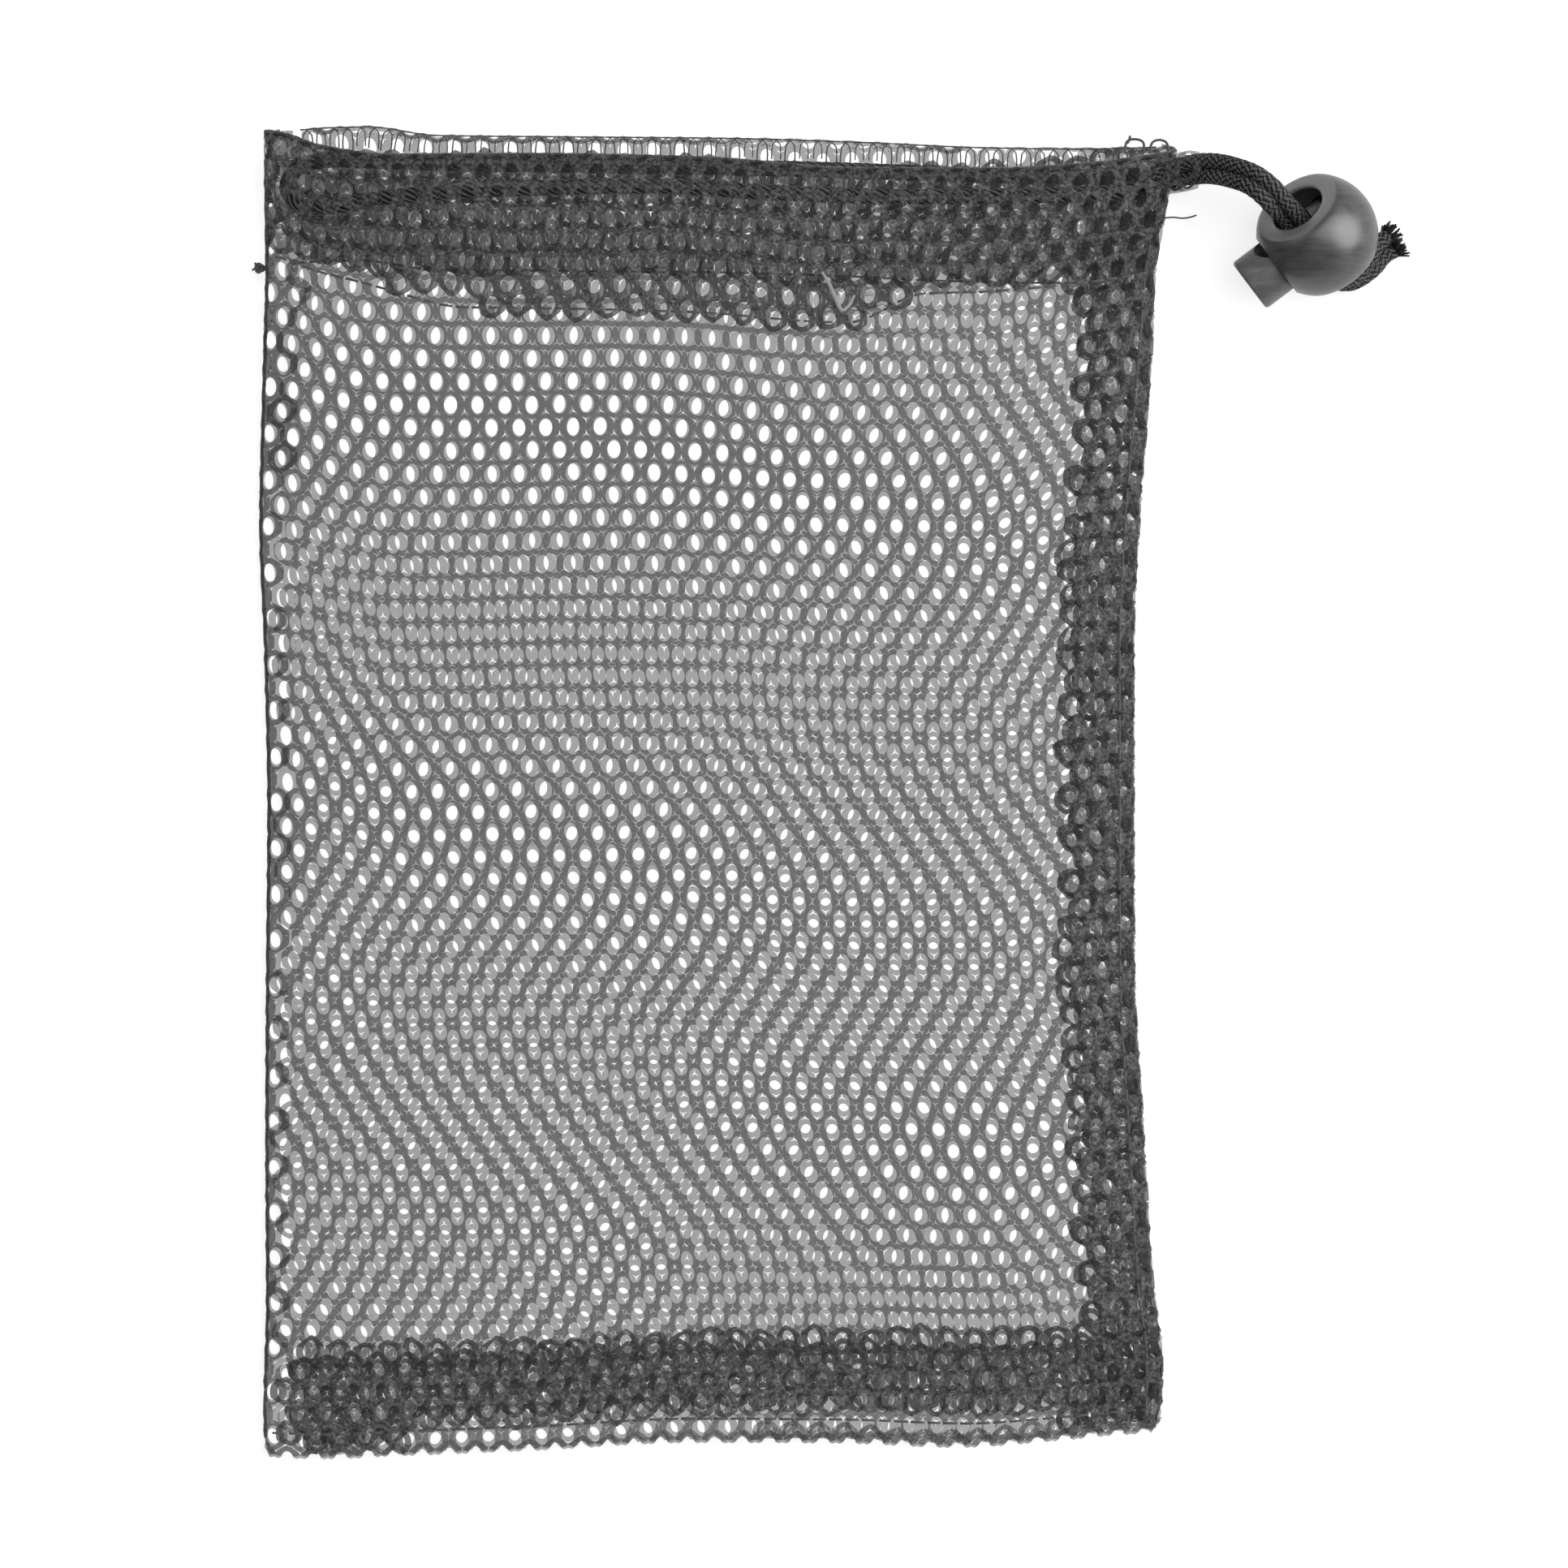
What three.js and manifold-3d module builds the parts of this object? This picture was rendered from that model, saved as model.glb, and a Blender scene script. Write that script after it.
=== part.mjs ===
// Mesh drawstring bag with a ball cord lock, lying flat on a table.
//
// Millimetres, +Z up. The bag lies on its back panel with its mouth towards +Y. The origin is on the table,
// under the middle of the bag. The net is one sheet, folded along the left edge and sewn up along the right
// edge and the bottom. A hem at the mouth holds the drawstring, whose two ends leave it at the right corner
// and pass together through the cord lock.

import * as THREE from "three";
import { mergeVertices } from "three/addons/utils/BufferGeometryUtils.js";
import Module from "manifold-3d";

const wasm = await Module();
wasm.setup();

// Cloth
const CLOTH = 1.0; // thickness of one layer of net
const SEAT = 0.3; // gap between pieces that lie on each other
const PILLOW = 5; // how flat the front panel is across: higher is flatter in the middle
const CHANNEL_END = 13; // how far below the mouth's edge the drawstring's channel starts to close
const HEM_ENDS = { left: 0.11, right: 0.93 }; // how far the hem's inner layers reach across
const BAG_WIDTH = 132; // of the flat bag, before it is filled out
const BAG_HEIGHT = 196;
const BOTTOM_ALLOWANCE = 14; // width of the cloth inside the bottom seam
const BOTTOM_ALLOWANCE_ENDS = { left: 0.02, right: 0.97 }; // how far it reaches across
const SIDE_ALLOWANCE = 11.5; // width of the cloth inside the side seam
const SIDE_ALLOWANCE_EDGE = 0.976; // its edge at the seam, as a share across
const SIDE_ALLOWANCE_STOP = 26; // how far below the mouth it ends

// Drawstring
const CORD = 2.3; // thickness
const CORD_SIDES = 8;
const LOOP_STEPS = 48;
const TAIL_STEPS = 30;
const CORD_CHANNEL = 3.0; // clear height of the hem's channel
const CORD_EYE = 3.0; // diameter of the way out for each end at the right corner

// Cord lock
const BALL = 18; // diameter of the ball
const BALL_FLATS = 12.2; // across the flats at the two mouths of the cord hole
const LOCK_CENTRE = new THREE.Vector3(88.3, 82.1, 9.5);
const PLUNGER_HEADING = 217; // degrees from +X, seen from above
const PLUNGER_DIP = 5; // degrees below level
const HOLE_LEAN = 54; // degrees between the cord hole and the vertical
const HOLE = 8.0; // diameter
const PLUNGER = 8.4; // diameter
const PLUNGER_PLAY = 0.3; // between the plunger and its bore
const PLUNGER_REACH = 12.5; // from the ball's middle to the plunger's outer end, at rest
const PLUNGER_ROOT = -3.6; // its inner end
const PLUNGER_TRAVEL = 2.6;
const PLUNGER_CHAMFER = 0.5;
const SLOT = { from: -0.95, to: 6.6, width: 5.0 }; // the plunger's way through for the cords
const MOUTH_RECESS = { width: 9.9, depth: 0.8 }; // round the plunger where it leaves the ball
// The two cords in the hole: the middle of the pair along the plunger, and half the way between them.
const PAIR_IN_LOCK = { along: 1.5, dx: -0.98, dy: 0.73 };
const BALL_SIDES = { round: 32, high: 20 };
const BORE_SIDES = 28;
const PLUNGER_SIDES = 32;

// The bag's sides, a row for each height from the bottom seam (up 0) to the mouth (up 1).
// left and right are the folded and the sewn edge, edge the height of the rounded side, crown of the middle.
const SIDE_ROWS = [
  { up: 0.0, left: -67.2, right: 64.6, edge: 3.8, crown: 3.8 },
  { up: 0.027, left: -67.5, right: 66.1, edge: 3.8, crown: 3.9 },
  { up: 0.058, left: -67.4, right: 66.1, edge: 3.8, crown: 4.2 },
  { up: 0.114, left: -67.1, right: 64.8, edge: 3.8, crown: 6.0 },
  { up: 0.239, left: -67.2, right: 63.3, edge: 3.8, crown: 9.4 },
  { up: 0.364, left: -67.1, right: 62.0, edge: 3.8, crown: 10.3 },
  { up: 0.488, left: -66.9, right: 61.9, edge: 3.8, crown: 10.5 },
  { up: 0.613, left: -67.4, right: 61.9, edge: 3.8, crown: 10.5 },
  { up: 0.707, left: -68.1, right: 62.7, edge: 3.8, crown: 10.7 },
  { up: 0.8, left: -67.7, right: 64.0, edge: 4.4, crown: 11.6 },
  { up: 0.85, left: -67.4, right: 64.6, edge: 5.4, crown: 12.8 },
  { up: 0.9, left: -67.1, right: 64.9, edge: 6.8, crown: 14.2 },
  { up: 0.95, left: -67.2, right: 66.4, edge: 7.8, crown: 14.9 },
  { up: 1.0, left: -67.3, right: 68.1, edge: 8.0, crown: 15.0 },
];

// The bag's ends, a row for each place across from the fold (across 0) to the side seam (across 1).
// bottom is the bottom seam, front and back the two panels' edges at the mouth.
const END_ROWS = [
  { across: 0.0, bottom: -98.2, front: 95.4, back: 98.2 },
  { across: 0.07, bottom: -98.6, front: 93.4, back: 98.6 },
  { across: 0.16, bottom: -98.1, front: 92.5, back: 97.3 },
  { across: 0.3, bottom: -97.4, front: 93.0, back: 97.1 },
  { across: 0.48, bottom: -96.2, front: 93.2, back: 96.9 },
  { across: 0.64, bottom: -96.3, front: 91.6, back: 96.3 },
  { across: 0.78, bottom: -96.9, front: 91.6, back: 95.5 },
  { across: 0.89, bottom: -95.9, front: 92.2, back: 95.5 },
  { across: 0.96, bottom: -95.0, front: 93.4, back: 96.2 },
  { across: 1.0, bottom: -94.7, front: 94.2, back: 96.2 },
];

// Soft folds that stand a little above the front panel, each a straight ridge from one place to another.
const FOLD_ROWS = [
  { across: 0.08, up: 0.8, toAcross: 0.72, toUp: 0.64, width: 15, height: 0.6 },
  { across: 0.05, up: 0.45, toAcross: 0.7, toUp: 0.32, width: 17, height: 0.6 },
  { across: 0.62, up: 0.88, toAcross: 0.95, toUp: 0.74, width: 10, height: 0.8 },
  { across: 0.6, up: 0.2, toAcross: 0.95, toUp: 0.08, width: 12, height: 0.7 },
];

// The hem's whole depth on each panel, a row for each place across.
const HEM_DEPTH_ROWS = [
  { across: 0.0, front: 18.0, back: 20.5 },
  { across: 0.12, front: 19.0, back: 20.5 },
  { across: 0.24, front: 22.5, back: 20.5 },
  { across: 0.65, front: 23.0, back: 20.5 },
  { across: 0.73, front: 18.8, back: 20.5 },
  { across: 1.0, front: 18.0, back: 20.5 },
];

// The hem's inner layer: its clearance to the panel at each depth below the mouth's edge.
// taper is the share of the way from the channel's end to the hem's edge.
const HEM_ROWS = [
  { depth: 0.8, taper: 0, clear: SEAT },
  { depth: 1.6, taper: 0, clear: 0.75 * CORD_CHANNEL },
  { depth: 2.6, taper: 0, clear: CORD_CHANNEL },
  { depth: 8.0, taper: 0, clear: CORD_CHANNEL },
  { depth: CHANNEL_END, taper: 0, clear: CORD_CHANNEL },
  { depth: CHANNEL_END, taper: 0.55, clear: 0.4 * CORD_CHANNEL },
  { depth: CHANNEL_END, taper: 1, clear: SEAT },
];

// The drawstring in the channel: along the front from the right, round the fold, and back along the back.
const LOOP_ROUTE = [
  [61.6, 89.2, 6.3],
  [58.5, 88.5, 7.7],
  [55.0, 88.2, 9.05],
  [48.0, 87.8, 10.9],
  [40.0, 87.6, 11.9],
  [26.0, 87.5, 12.4],
  [10.0, 88.0, 12.5],
  [-8.0, 89.0, 12.5],
  [-26.0, 88.8, 12.4],
  [-40.0, 88.2, 11.7],
  [-50.0, 87.3, 10.2],
  [-57.0, 86.3, 8.1],
  [-61.8, 86.7, 5.9],
  [-63.7, 89.3, 4.5],
  [-62.4, 92.3, 3.4],
  [-58.0, 93.6, 2.7],
  [-50.0, 93.5, 2.5],
  [-38.0, 93.1, 2.5],
  [-22.0, 92.9, 2.5],
  [-4.0, 92.6, 2.5],
  [16.0, 92.2, 2.5],
  [36.0, 91.5, 2.5],
  [50.0, 91.2, 2.5],
  [58.0, 91.1, 2.6],
  [61.9, 91.0, 2.7],
];

// The two free ends as one pair: the middle of the pair, and half the way from the back to the front cord.
// First from the channel, over and down to the lock's upper mouth.
const PAIR_ROUTE = [
  { x: 62.5, y: 90.2, z: 4.4, dx: 0.0, dy: -0.75, dz: 1.7 },
  { x: 66.4, y: 91.2, z: 4.5, dx: -0.2, dy: 0.75, dz: 1.0 },
  { x: 69.6, y: 91.9, z: 5.7, dx: -0.2, dy: 1.08, dz: 0.6 },
  { x: 72.7, y: 91.9, z: 8.9, dx: 0.1, dy: 1.2, dz: 0.3 },
  { x: 75.8, y: 91.0, z: 12.6, dx: 0.37, dy: 1.16, dz: 0.12 },
  { x: 78.6, y: 89.7, z: 14.9, dx: 0.61, dy: 1.05, dz: 0.06 },
  { x: 80.8, y: 87.9, z: 15.6, dx: 0.8, dy: 0.92, dz: 0.0 },
  { x: 82.3, y: 86.3, z: 14.7, dx: 0.95, dy: 0.6, dz: 0.35 },
];
// Then from the lock's lower mouth down to the table, round to the right and out beside the ball.
const END_ROUTE = [
  { x: 91.6, y: 75.9, z: 4.2, dx: 0.68, dy: 0.12, dz: 1.0 },
  { x: 94.2, y: 75.9, z: 2.7, dx: 0.24, dy: 0.38, dz: 1.13 },
  { x: 96.6, y: 77.9, z: 2.26, dx: -0.55, dy: 0.39, dz: 1.0 },
  { x: 98.5, y: 80.2, z: 2.05, dx: -0.6, dy: 0.73, dz: 0.76 },
  { x: 101.0, y: 81.8, z: 1.8, dx: -0.54, dy: 1.0, dz: 0.43 },
];

/** Value of a column at a place between a table's rows, smooth and without overshoot. */
function between(rows, key, column, at) {
  const last = rows.length - 2;
  let k = 0;
  while (k < last && at > rows[k + 1][key]) {
    k += 1;
  }
  const rise = (i) => (rows[i + 1][column] - rows[i][column]) / (rows[i + 1][key] - rows[i][key]);
  const slope = (i) => {
    if (i === 0 || i === rows.length - 1) {
      return i === 0 ? rise(0) : rise(last);
    }
    const product = rise(i - 1) * rise(i);
    return product <= 0 ? 0 : (2 * product) / (rise(i - 1) + rise(i));
  };
  const span = rows[k + 1][key] - rows[k][key];
  const t = THREE.MathUtils.clamp((at - rows[k][key]) / span, 0, 1);
  const a = rows[k][column];
  const b = rows[k + 1][column];
  const from = slope(k) * span;
  const to = slope(k + 1) * span;
  return a + t * (from + t * (3 * (b - a) - 2 * from - to + t * (2 * (a - b) + from + to)));
}

const side = (column, up) => between(SIDE_ROWS, "up", column, up);
const end = (column, across) => between(END_ROWS, "across", column, across);

/** X of a place across the bag. */
function acrossToX(across, up) {
  return THREE.MathUtils.lerp(side("left", up), side("right", up), across);
}

/** Y of a place up one panel, or between the two where layer runs from 0 (back) to 1 (front). */
function upToY(across, up, layer) {
  const mouth = THREE.MathUtils.lerp(end("back", across), end("front", across), layer);
  return THREE.MathUtils.lerp(end("bottom", across), mouth, up);
}

/** How far up the panel a place lies that is so many millimetres below the mouth's edge. */
function belowMouth(across, depth, layer) {
  const mouth = THREE.MathUtils.lerp(end("back", across), end("front", across), layer);
  return 1 - depth / (mouth - end("bottom", across));
}

/** Height of the soft folds at a place on the front panel. */
function foldHeight(across, up) {
  const place = new THREE.Vector3(acrossToX(across, up), upToY(across, up, 1), 0);
  const nearest = new THREE.Vector3();
  let height = 0;
  for (const fold of FOLD_ROWS) {
    const ridge = new THREE.Line3(
      new THREE.Vector3(acrossToX(fold.across, fold.up), upToY(fold.across, fold.up, 1), 0),
      new THREE.Vector3(acrossToX(fold.toAcross, fold.toUp), upToY(fold.toAcross, fold.toUp, 1), 0),
    );
    ridge.closestPointToPoint(place, true, nearest);
    height += fold.height * Math.exp(-((place.distanceTo(nearest) / fold.width) ** 2));
  }
  return height;
}

/** Height of the front panel's outer face. */
function frontHeight(across, up) {
  const edge = side("edge", up);
  const width = side("right", up) - side("left", up);
  const share = THREE.MathUtils.clamp((across * width - edge / 2) / (width - edge), 0, 1);
  const rounded = 1 - Math.abs(2 * share - 1) ** PILLOW;
  const soft = foldHeight(across, up) * rounded * Math.sin(Math.PI * up);
  return edge + (side("crown", up) - edge) * rounded + soft;
}

// Steps in the bag's outline: across each panel, and round each side edge.
const PANEL_STEPS = 24;
const ROUND_STEPS = 4;

/** Closed outline of the bag at one height, drawn in by inset: front, sewn edge, back, folded edge. */
function bagSection(up, inset) {
  const edge = side("edge", up);
  const round = edge / 2 - inset;
  const left = side("left", up) + inset + round;
  const right = side("right", up) - inset - round;
  const acrossOf = (x) => (x - side("left", up)) / (side("right", up) - side("left", up));
  const points = [];
  const add = (x, z, layer) => {
    points.push(new THREE.Vector3(x, upToY(acrossOf(x), up, layer), z));
  };
  const placeAcross = (i) => {
    const share = (1 - Math.cos((Math.PI * i) / PANEL_STEPS)) / 2;
    return THREE.MathUtils.lerp(left, right, share);
  };
  for (let i = 0; i <= PANEL_STEPS; i += 1) {
    const x = placeAcross(i);
    add(x, frontHeight(acrossOf(x), up) - inset, 1);
  }
  for (let i = 1; i < ROUND_STEPS; i += 1) {
    const turn = (Math.PI * i) / ROUND_STEPS;
    const layer = (1 + Math.cos(turn)) / 2;
    add(right + round * Math.sin(turn), edge / 2 + round * Math.cos(turn), layer);
  }
  for (let i = PANEL_STEPS; i >= 0; i -= 1) {
    add(placeAcross(i), inset, 0);
  }
  for (let i = 1; i < ROUND_STEPS; i += 1) {
    const turn = (Math.PI * i) / ROUND_STEPS;
    const layer = (1 - Math.cos(turn)) / 2;
    add(left - round * Math.sin(turn), edge / 2 - round * Math.cos(turn), layer);
  }
  return points;
}

/** Geometry from a list of corners and triangles of three corner numbers each. */
function facets(corners, triangles) {
  const geometry = new THREE.BufferGeometry().setFromPoints(corners);
  geometry.setIndex(triangles.flat());
  return geometry;
}

/** Pouch between two stacks of outlines, closed at the first outline and open at the last. */
function pouch(outer, inner) {
  const count = outer[0].length;
  const corners = [...outer.flat(), ...inner.flat()];
  const offset = outer.length * count;
  const triangles = [];
  const quad = (a, b, c, d) => triangles.push([a, b, c], [a, c, d]);
  for (let i = 0; i < count; i += 1) {
    const next = (i + 1) % count;
    for (let row = 0; row + 1 < outer.length; row += 1) {
      quad(row * count + i, row * count + next, (row + 1) * count + next, (row + 1) * count + i);
    }
    for (let row = 0; row + 1 < inner.length; row += 1) {
      const a = offset + row * count;
      quad(a + i, a + count + i, a + count + next, a + next);
    }
    const rim = (outer.length - 1) * count;
    const lip = offset + (inner.length - 1) * count;
    quad(rim + i, rim + next, lip + next, lip + i);
  }
  const sewn = PANEL_STEPS;
  const folded = 2 * PANEL_STEPS + ROUND_STEPS;
  const cap = (start, inwards) => {
    const facing = (a, b, c) => {
      triangles.push(inwards ? [start + a, start + c, start + b] : [start + a, start + b, start + c]);
    };
    for (let i = 0; i < PANEL_STEPS; i += 1) {
      const under = folded - i;
      facing(i, under, i + 1);
      facing(i + 1, under, under - 1);
    }
    for (let i = 1; i < ROUND_STEPS; i += 1) {
      facing(sewn, sewn + i + 1, sewn + i);
      facing(folded, (folded + i + 1) % count, folded + i);
    }
  };
  cap(0, false);
  cap(offset, true);
  return facets(corners, triangles);
}

/** Sheet of cloth between an upper and a lower face, each a function of two shares from 0 to 1. */
function sheet(columns, rows, upper, lower) {
  const width = columns + 1;
  const corners = [];
  for (const face of [upper, lower]) {
    for (let j = 0; j <= rows; j += 1) {
      for (let i = 0; i <= columns; i += 1) {
        corners.push(face(i / columns, j / rows));
      }
    }
  }
  const below = width * (rows + 1);
  const triangles = [];
  const quad = (a, b, c, d) => triangles.push([a, b, c], [a, c, d]);
  for (let j = 0; j < rows; j += 1) {
    for (let i = 0; i < columns; i += 1) {
      const a = j * width + i;
      quad(a, a + 1, a + width + 1, a + width);
      quad(below + a, below + a + width, below + a + width + 1, below + a + 1);
    }
  }
  for (let i = 0; i < columns; i += 1) {
    const far = rows * width + i;
    quad(below + i, below + i + 1, i + 1, i);
    quad(far, far + 1, below + far + 1, below + far);
  }
  for (let j = 0; j < rows; j += 1) {
    const near = j * width;
    const far = near + columns;
    quad(near, near + width, below + near + width, below + near);
    quad(below + far, below + far + width, far + width, far);
  }
  return facets(corners, triangles);
}

/** Round cord along a list of points. */
function cord(points, diameter, steps) {
  const section = new THREE.Shape();
  for (let i = 0; i < CORD_SIDES; i += 1) {
    const turn = (2 * Math.PI * i) / CORD_SIDES;
    const x = (diameter / 2) * Math.cos(turn);
    const y = (diameter / 2) * Math.sin(turn);
    if (i === 0) {
      section.moveTo(x, y);
    } else {
      section.lineTo(x, y);
    }
  }
  section.closePath();
  const extrudePath = new THREE.CatmullRomCurve3(points, false, "centripetal");
  return new THREE.ExtrudeGeometry(section, { steps, extrudePath, bevelEnabled: false });
}

/** Closed solid that can be cut, from a geometry. */
function solid(geometry) {
  const WELD = 1e-4;
  const bare = geometry.clone();
  bare.deleteAttribute("normal");
  bare.deleteAttribute("uv");
  const merged = mergeVertices(bare, WELD);
  return new wasm.Manifold(
    new wasm.Mesh({
      numProp: 3,
      vertProperties: Float32Array.from(merged.attributes.position.array),
      triVerts: Uint32Array.from(merged.index.array),
    }),
  );
}

/** Geometry of a cut solid. */
function geometryOf(cut) {
  const { vertProperties, triVerts } = cut.getMesh();
  const geometry = new THREE.BufferGeometry();
  geometry.setAttribute("position", new THREE.BufferAttribute(vertProperties, 3));
  geometry.setIndex(new THREE.BufferAttribute(triVerts, 1));
  return geometry;
}

/** Named mesh with its own material. */
function piece(name, geometry, color, roughness) {
  const shaded = geometry.index ? geometry.toNonIndexed() : geometry;
  shaded.computeVertexNormals();
  const mesh = new THREE.Mesh(shaded, new THREE.MeshStandardMaterial({ color, roughness, metalness: 0 }));
  mesh.name = name;
  return mesh;
}

const NET = 0x2b2b2d;
const BRAID = 0x262628;
const PLASTIC = 0x3a3a3c;

// The lock's own axes: X along the plunger, Z along the cord hole towards its upper mouth.
const heading = THREE.MathUtils.degToRad(PLUNGER_HEADING);
const dip = THREE.MathUtils.degToRad(PLUNGER_DIP);
const lean = THREE.MathUtils.degToRad(HOLE_LEAN);
const plungerAxis = new THREE.Vector3(
  Math.cos(heading) * Math.cos(dip),
  Math.sin(heading) * Math.cos(dip),
  -Math.sin(dip),
);
const level = new THREE.Vector3(Math.sin(heading), -Math.cos(heading), 0);
const upright = new THREE.Vector3().crossVectors(level, plungerAxis);
const holeAxis = new THREE.Vector3()
  .addScaledVector(level, Math.sin(lean))
  .addScaledVector(upright, Math.cos(lean))
  .normalize();
const crossAxis = new THREE.Vector3().crossVectors(holeAxis, plungerAxis);
const lockFrame = new THREE.Matrix4().makeBasis(plungerAxis, crossAxis, holeAxis);

/** Place in the world of a place in the lock. */
function inLock(x, y, z) {
  return new THREE.Vector3(x, y, z).applyMatrix4(lockFrame).add(LOCK_CENTRE);
}

/** One cord of the pair at a row of its route. */
function strandPoint(row, sign) {
  return new THREE.Vector3(row.x + sign * row.dx, row.y + sign * row.dy, row.z + sign * row.dz);
}

/** One free end: out of the channel, up and over into the lock, under it and out beside it. */
function tailRoute(sign) {
  const inHole = [BALL_FLATS / 2, 0, -BALL_FLATS / 2].map((along) =>
    inLock(PAIR_IN_LOCK.along + sign * PAIR_IN_LOCK.dx, sign * PAIR_IN_LOCK.dy, along),
  );
  const before = PAIR_ROUTE.map((row) => strandPoint(row, sign));
  const after = END_ROUTE.map((row) => strandPoint(row, sign));
  return [...before, ...inHole, ...after];
}

/** The net bag, with the way out for the two cords cut at its right corner. */
function meshBody() {
  const heights = SIDE_ROWS.map((row) => row.up);
  const floor = CLOTH / (end("back", 0) - end("bottom", 0));
  const outer = heights.map((up) => bagSection(up, 0));
  const inner = [floor, ...heights.slice(1)].map((up) => bagSection(up, CLOTH));
  let bag = solid(pouch(outer, inner));
  for (const sign of [1, -1]) {
    bag = bag.subtract(solid(cord(tailRoute(sign), CORD_EYE, TAIL_STEPS)));
  }
  return geometryOf(bag);
}

/** The turned-in layer of the hem on one panel. */
function hem(layer) {
  const COLUMNS = 22;
  const ROWS = HEM_ROWS.length - 1;
  const face = (thickness) => (i, j) => {
    const across = THREE.MathUtils.lerp(HEM_ENDS.left, HEM_ENDS.right, i);
    const row = HEM_ROWS[Math.round((1 - j) * ROWS)];
    const whole = between(HEM_DEPTH_ROWS, "across", layer === 1 ? "front" : "back", across);
    const depth = row.depth + row.taper * (whole - CHANNEL_END);
    const up = belowMouth(across, depth, layer);
    const away = CLOTH + row.clear + thickness;
    const z = layer === 1 ? frontHeight(across, up) - away : away;
    return new THREE.Vector3(acrossToX(across, up), upToY(across, up, layer), z);
  };
  const near = face(0);
  const far = face(CLOTH);
  return layer === 1 ? sheet(COLUMNS, ROWS, near, far) : sheet(COLUMNS, ROWS, far, near);
}

/** Seam allowance on the back panel: place gives a point's share across and height above the seam. */
function allowance(columns, rows, place) {
  const face = (z) => (i, j) => {
    const { across, above } = place(i, j);
    const up = above / (end("back", across) - end("bottom", across));
    return new THREE.Vector3(acrossToX(across, up), upToY(across, up, 0), z);
  };
  const low = CLOTH + SEAT;
  return sheet(columns, rows, face(low + CLOTH), face(low));
}

/** The cloth inside the bottom seam. */
function bottomAllowance() {
  const COLUMNS = 20;
  const ROWS = 4;
  const start = CLOTH + SEAT;
  return allowance(COLUMNS, ROWS, (i, j) => ({
    across: THREE.MathUtils.lerp(BOTTOM_ALLOWANCE_ENDS.left, BOTTOM_ALLOWANCE_ENDS.right, i),
    above: THREE.MathUtils.lerp(start, start + BOTTOM_ALLOWANCE, j),
  }));
}

/** The cloth inside the side seam, from the bottom allowance up to the hem. */
function sideAllowance() {
  const COLUMNS = 3;
  const ROWS = 16;
  const inner = SIDE_ALLOWANCE_EDGE - SIDE_ALLOWANCE / BAG_WIDTH;
  const start = CLOTH + 2 * SEAT + BOTTOM_ALLOWANCE;
  const stop = BAG_HEIGHT - SIDE_ALLOWANCE_STOP;
  return allowance(COLUMNS, ROWS, (i, j) => ({
    across: THREE.MathUtils.lerp(inner, SIDE_ALLOWANCE_EDGE, i),
    above: THREE.MathUtils.lerp(start, stop, j),
  }));
}

/** Round bar along X between two places. */
function barAlongX(diameter, from, to) {
  const geometry = new THREE.CylinderGeometry(diameter / 2, diameter / 2, to - from, BORE_SIDES);
  return geometry.rotateZ(-Math.PI / 2).translate((from + to) / 2, 0, 0);
}

/** The lock's ball: flat mouths with the cord hole between them, and the plunger's bore with a recess. */
function lockBall() {
  const radius = BALL / 2;
  const sphere = new THREE.SphereGeometry(radius, BALL_SIDES.round, BALL_SIDES.high).rotateX(Math.PI / 2);
  const slice = new THREE.BoxGeometry(2 * BALL, 2 * BALL, BALL_FLATS);
  const hole = new THREE.CylinderGeometry(HOLE / 2, HOLE / 2, 2 * BALL, BORE_SIDES);
  hole.rotateX(Math.PI / 2);
  const boreEnd = PLUNGER_ROOT - PLUNGER_TRAVEL - PLUNGER_PLAY;
  const bore = barAlongX(PLUNGER + 2 * PLUNGER_PLAY, boreEnd, BALL);
  const mouth = Math.sqrt(radius ** 2 - (MOUTH_RECESS.width / 2) ** 2);
  const recess = barAlongX(MOUTH_RECESS.width, mouth - MOUTH_RECESS.depth, BALL);
  const ball = solid(sphere).intersect(solid(slice));
  return geometryOf(ball.subtract(solid(hole)).subtract(solid(bore)).subtract(solid(recess)));
}

/** The lock's plunger: a round bar with a chamfered end and a slot for the cords. */
function lockPlunger() {
  const radius = PLUNGER / 2;
  const profile = [
    new THREE.Vector2(0, PLUNGER_ROOT),
    new THREE.Vector2(radius, PLUNGER_ROOT),
    new THREE.Vector2(radius, PLUNGER_REACH - PLUNGER_CHAMFER),
    new THREE.Vector2(radius - PLUNGER_CHAMFER, PLUNGER_REACH),
    new THREE.Vector2(0, PLUNGER_REACH),
  ];
  const bar = new THREE.LatheGeometry(profile, PLUNGER_SIDES).rotateZ(-Math.PI / 2);
  const slot = new THREE.BoxGeometry(SLOT.to - SLOT.from, SLOT.width, 2 * PLUNGER);
  slot.translate((SLOT.from + SLOT.to) / 2, 0, 0);
  return geometryOf(solid(bar).subtract(solid(slot)));
}

const loopRoute = LOOP_ROUTE.map((point) => new THREE.Vector3(...point));

const bag = new THREE.Group();
bag.add(
  piece("mesh_body", meshBody(), NET, 0.85),
  piece("hem_front", hem(1), NET, 0.85),
  piece("hem_back", hem(0), NET, 0.85),
  piece("bottom_seam_allowance", bottomAllowance(), NET, 0.85),
  piece("side_seam_allowance", sideAllowance(), NET, 0.85),
  piece("drawstring_loop", cord(loopRoute, CORD, LOOP_STEPS), BRAID, 0.8),
  piece("drawstring_tail_front", cord(tailRoute(1), CORD, TAIL_STEPS), BRAID, 0.8),
  piece("drawstring_tail_back", cord(tailRoute(-1), CORD, TAIL_STEPS), BRAID, 0.8),
);

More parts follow.
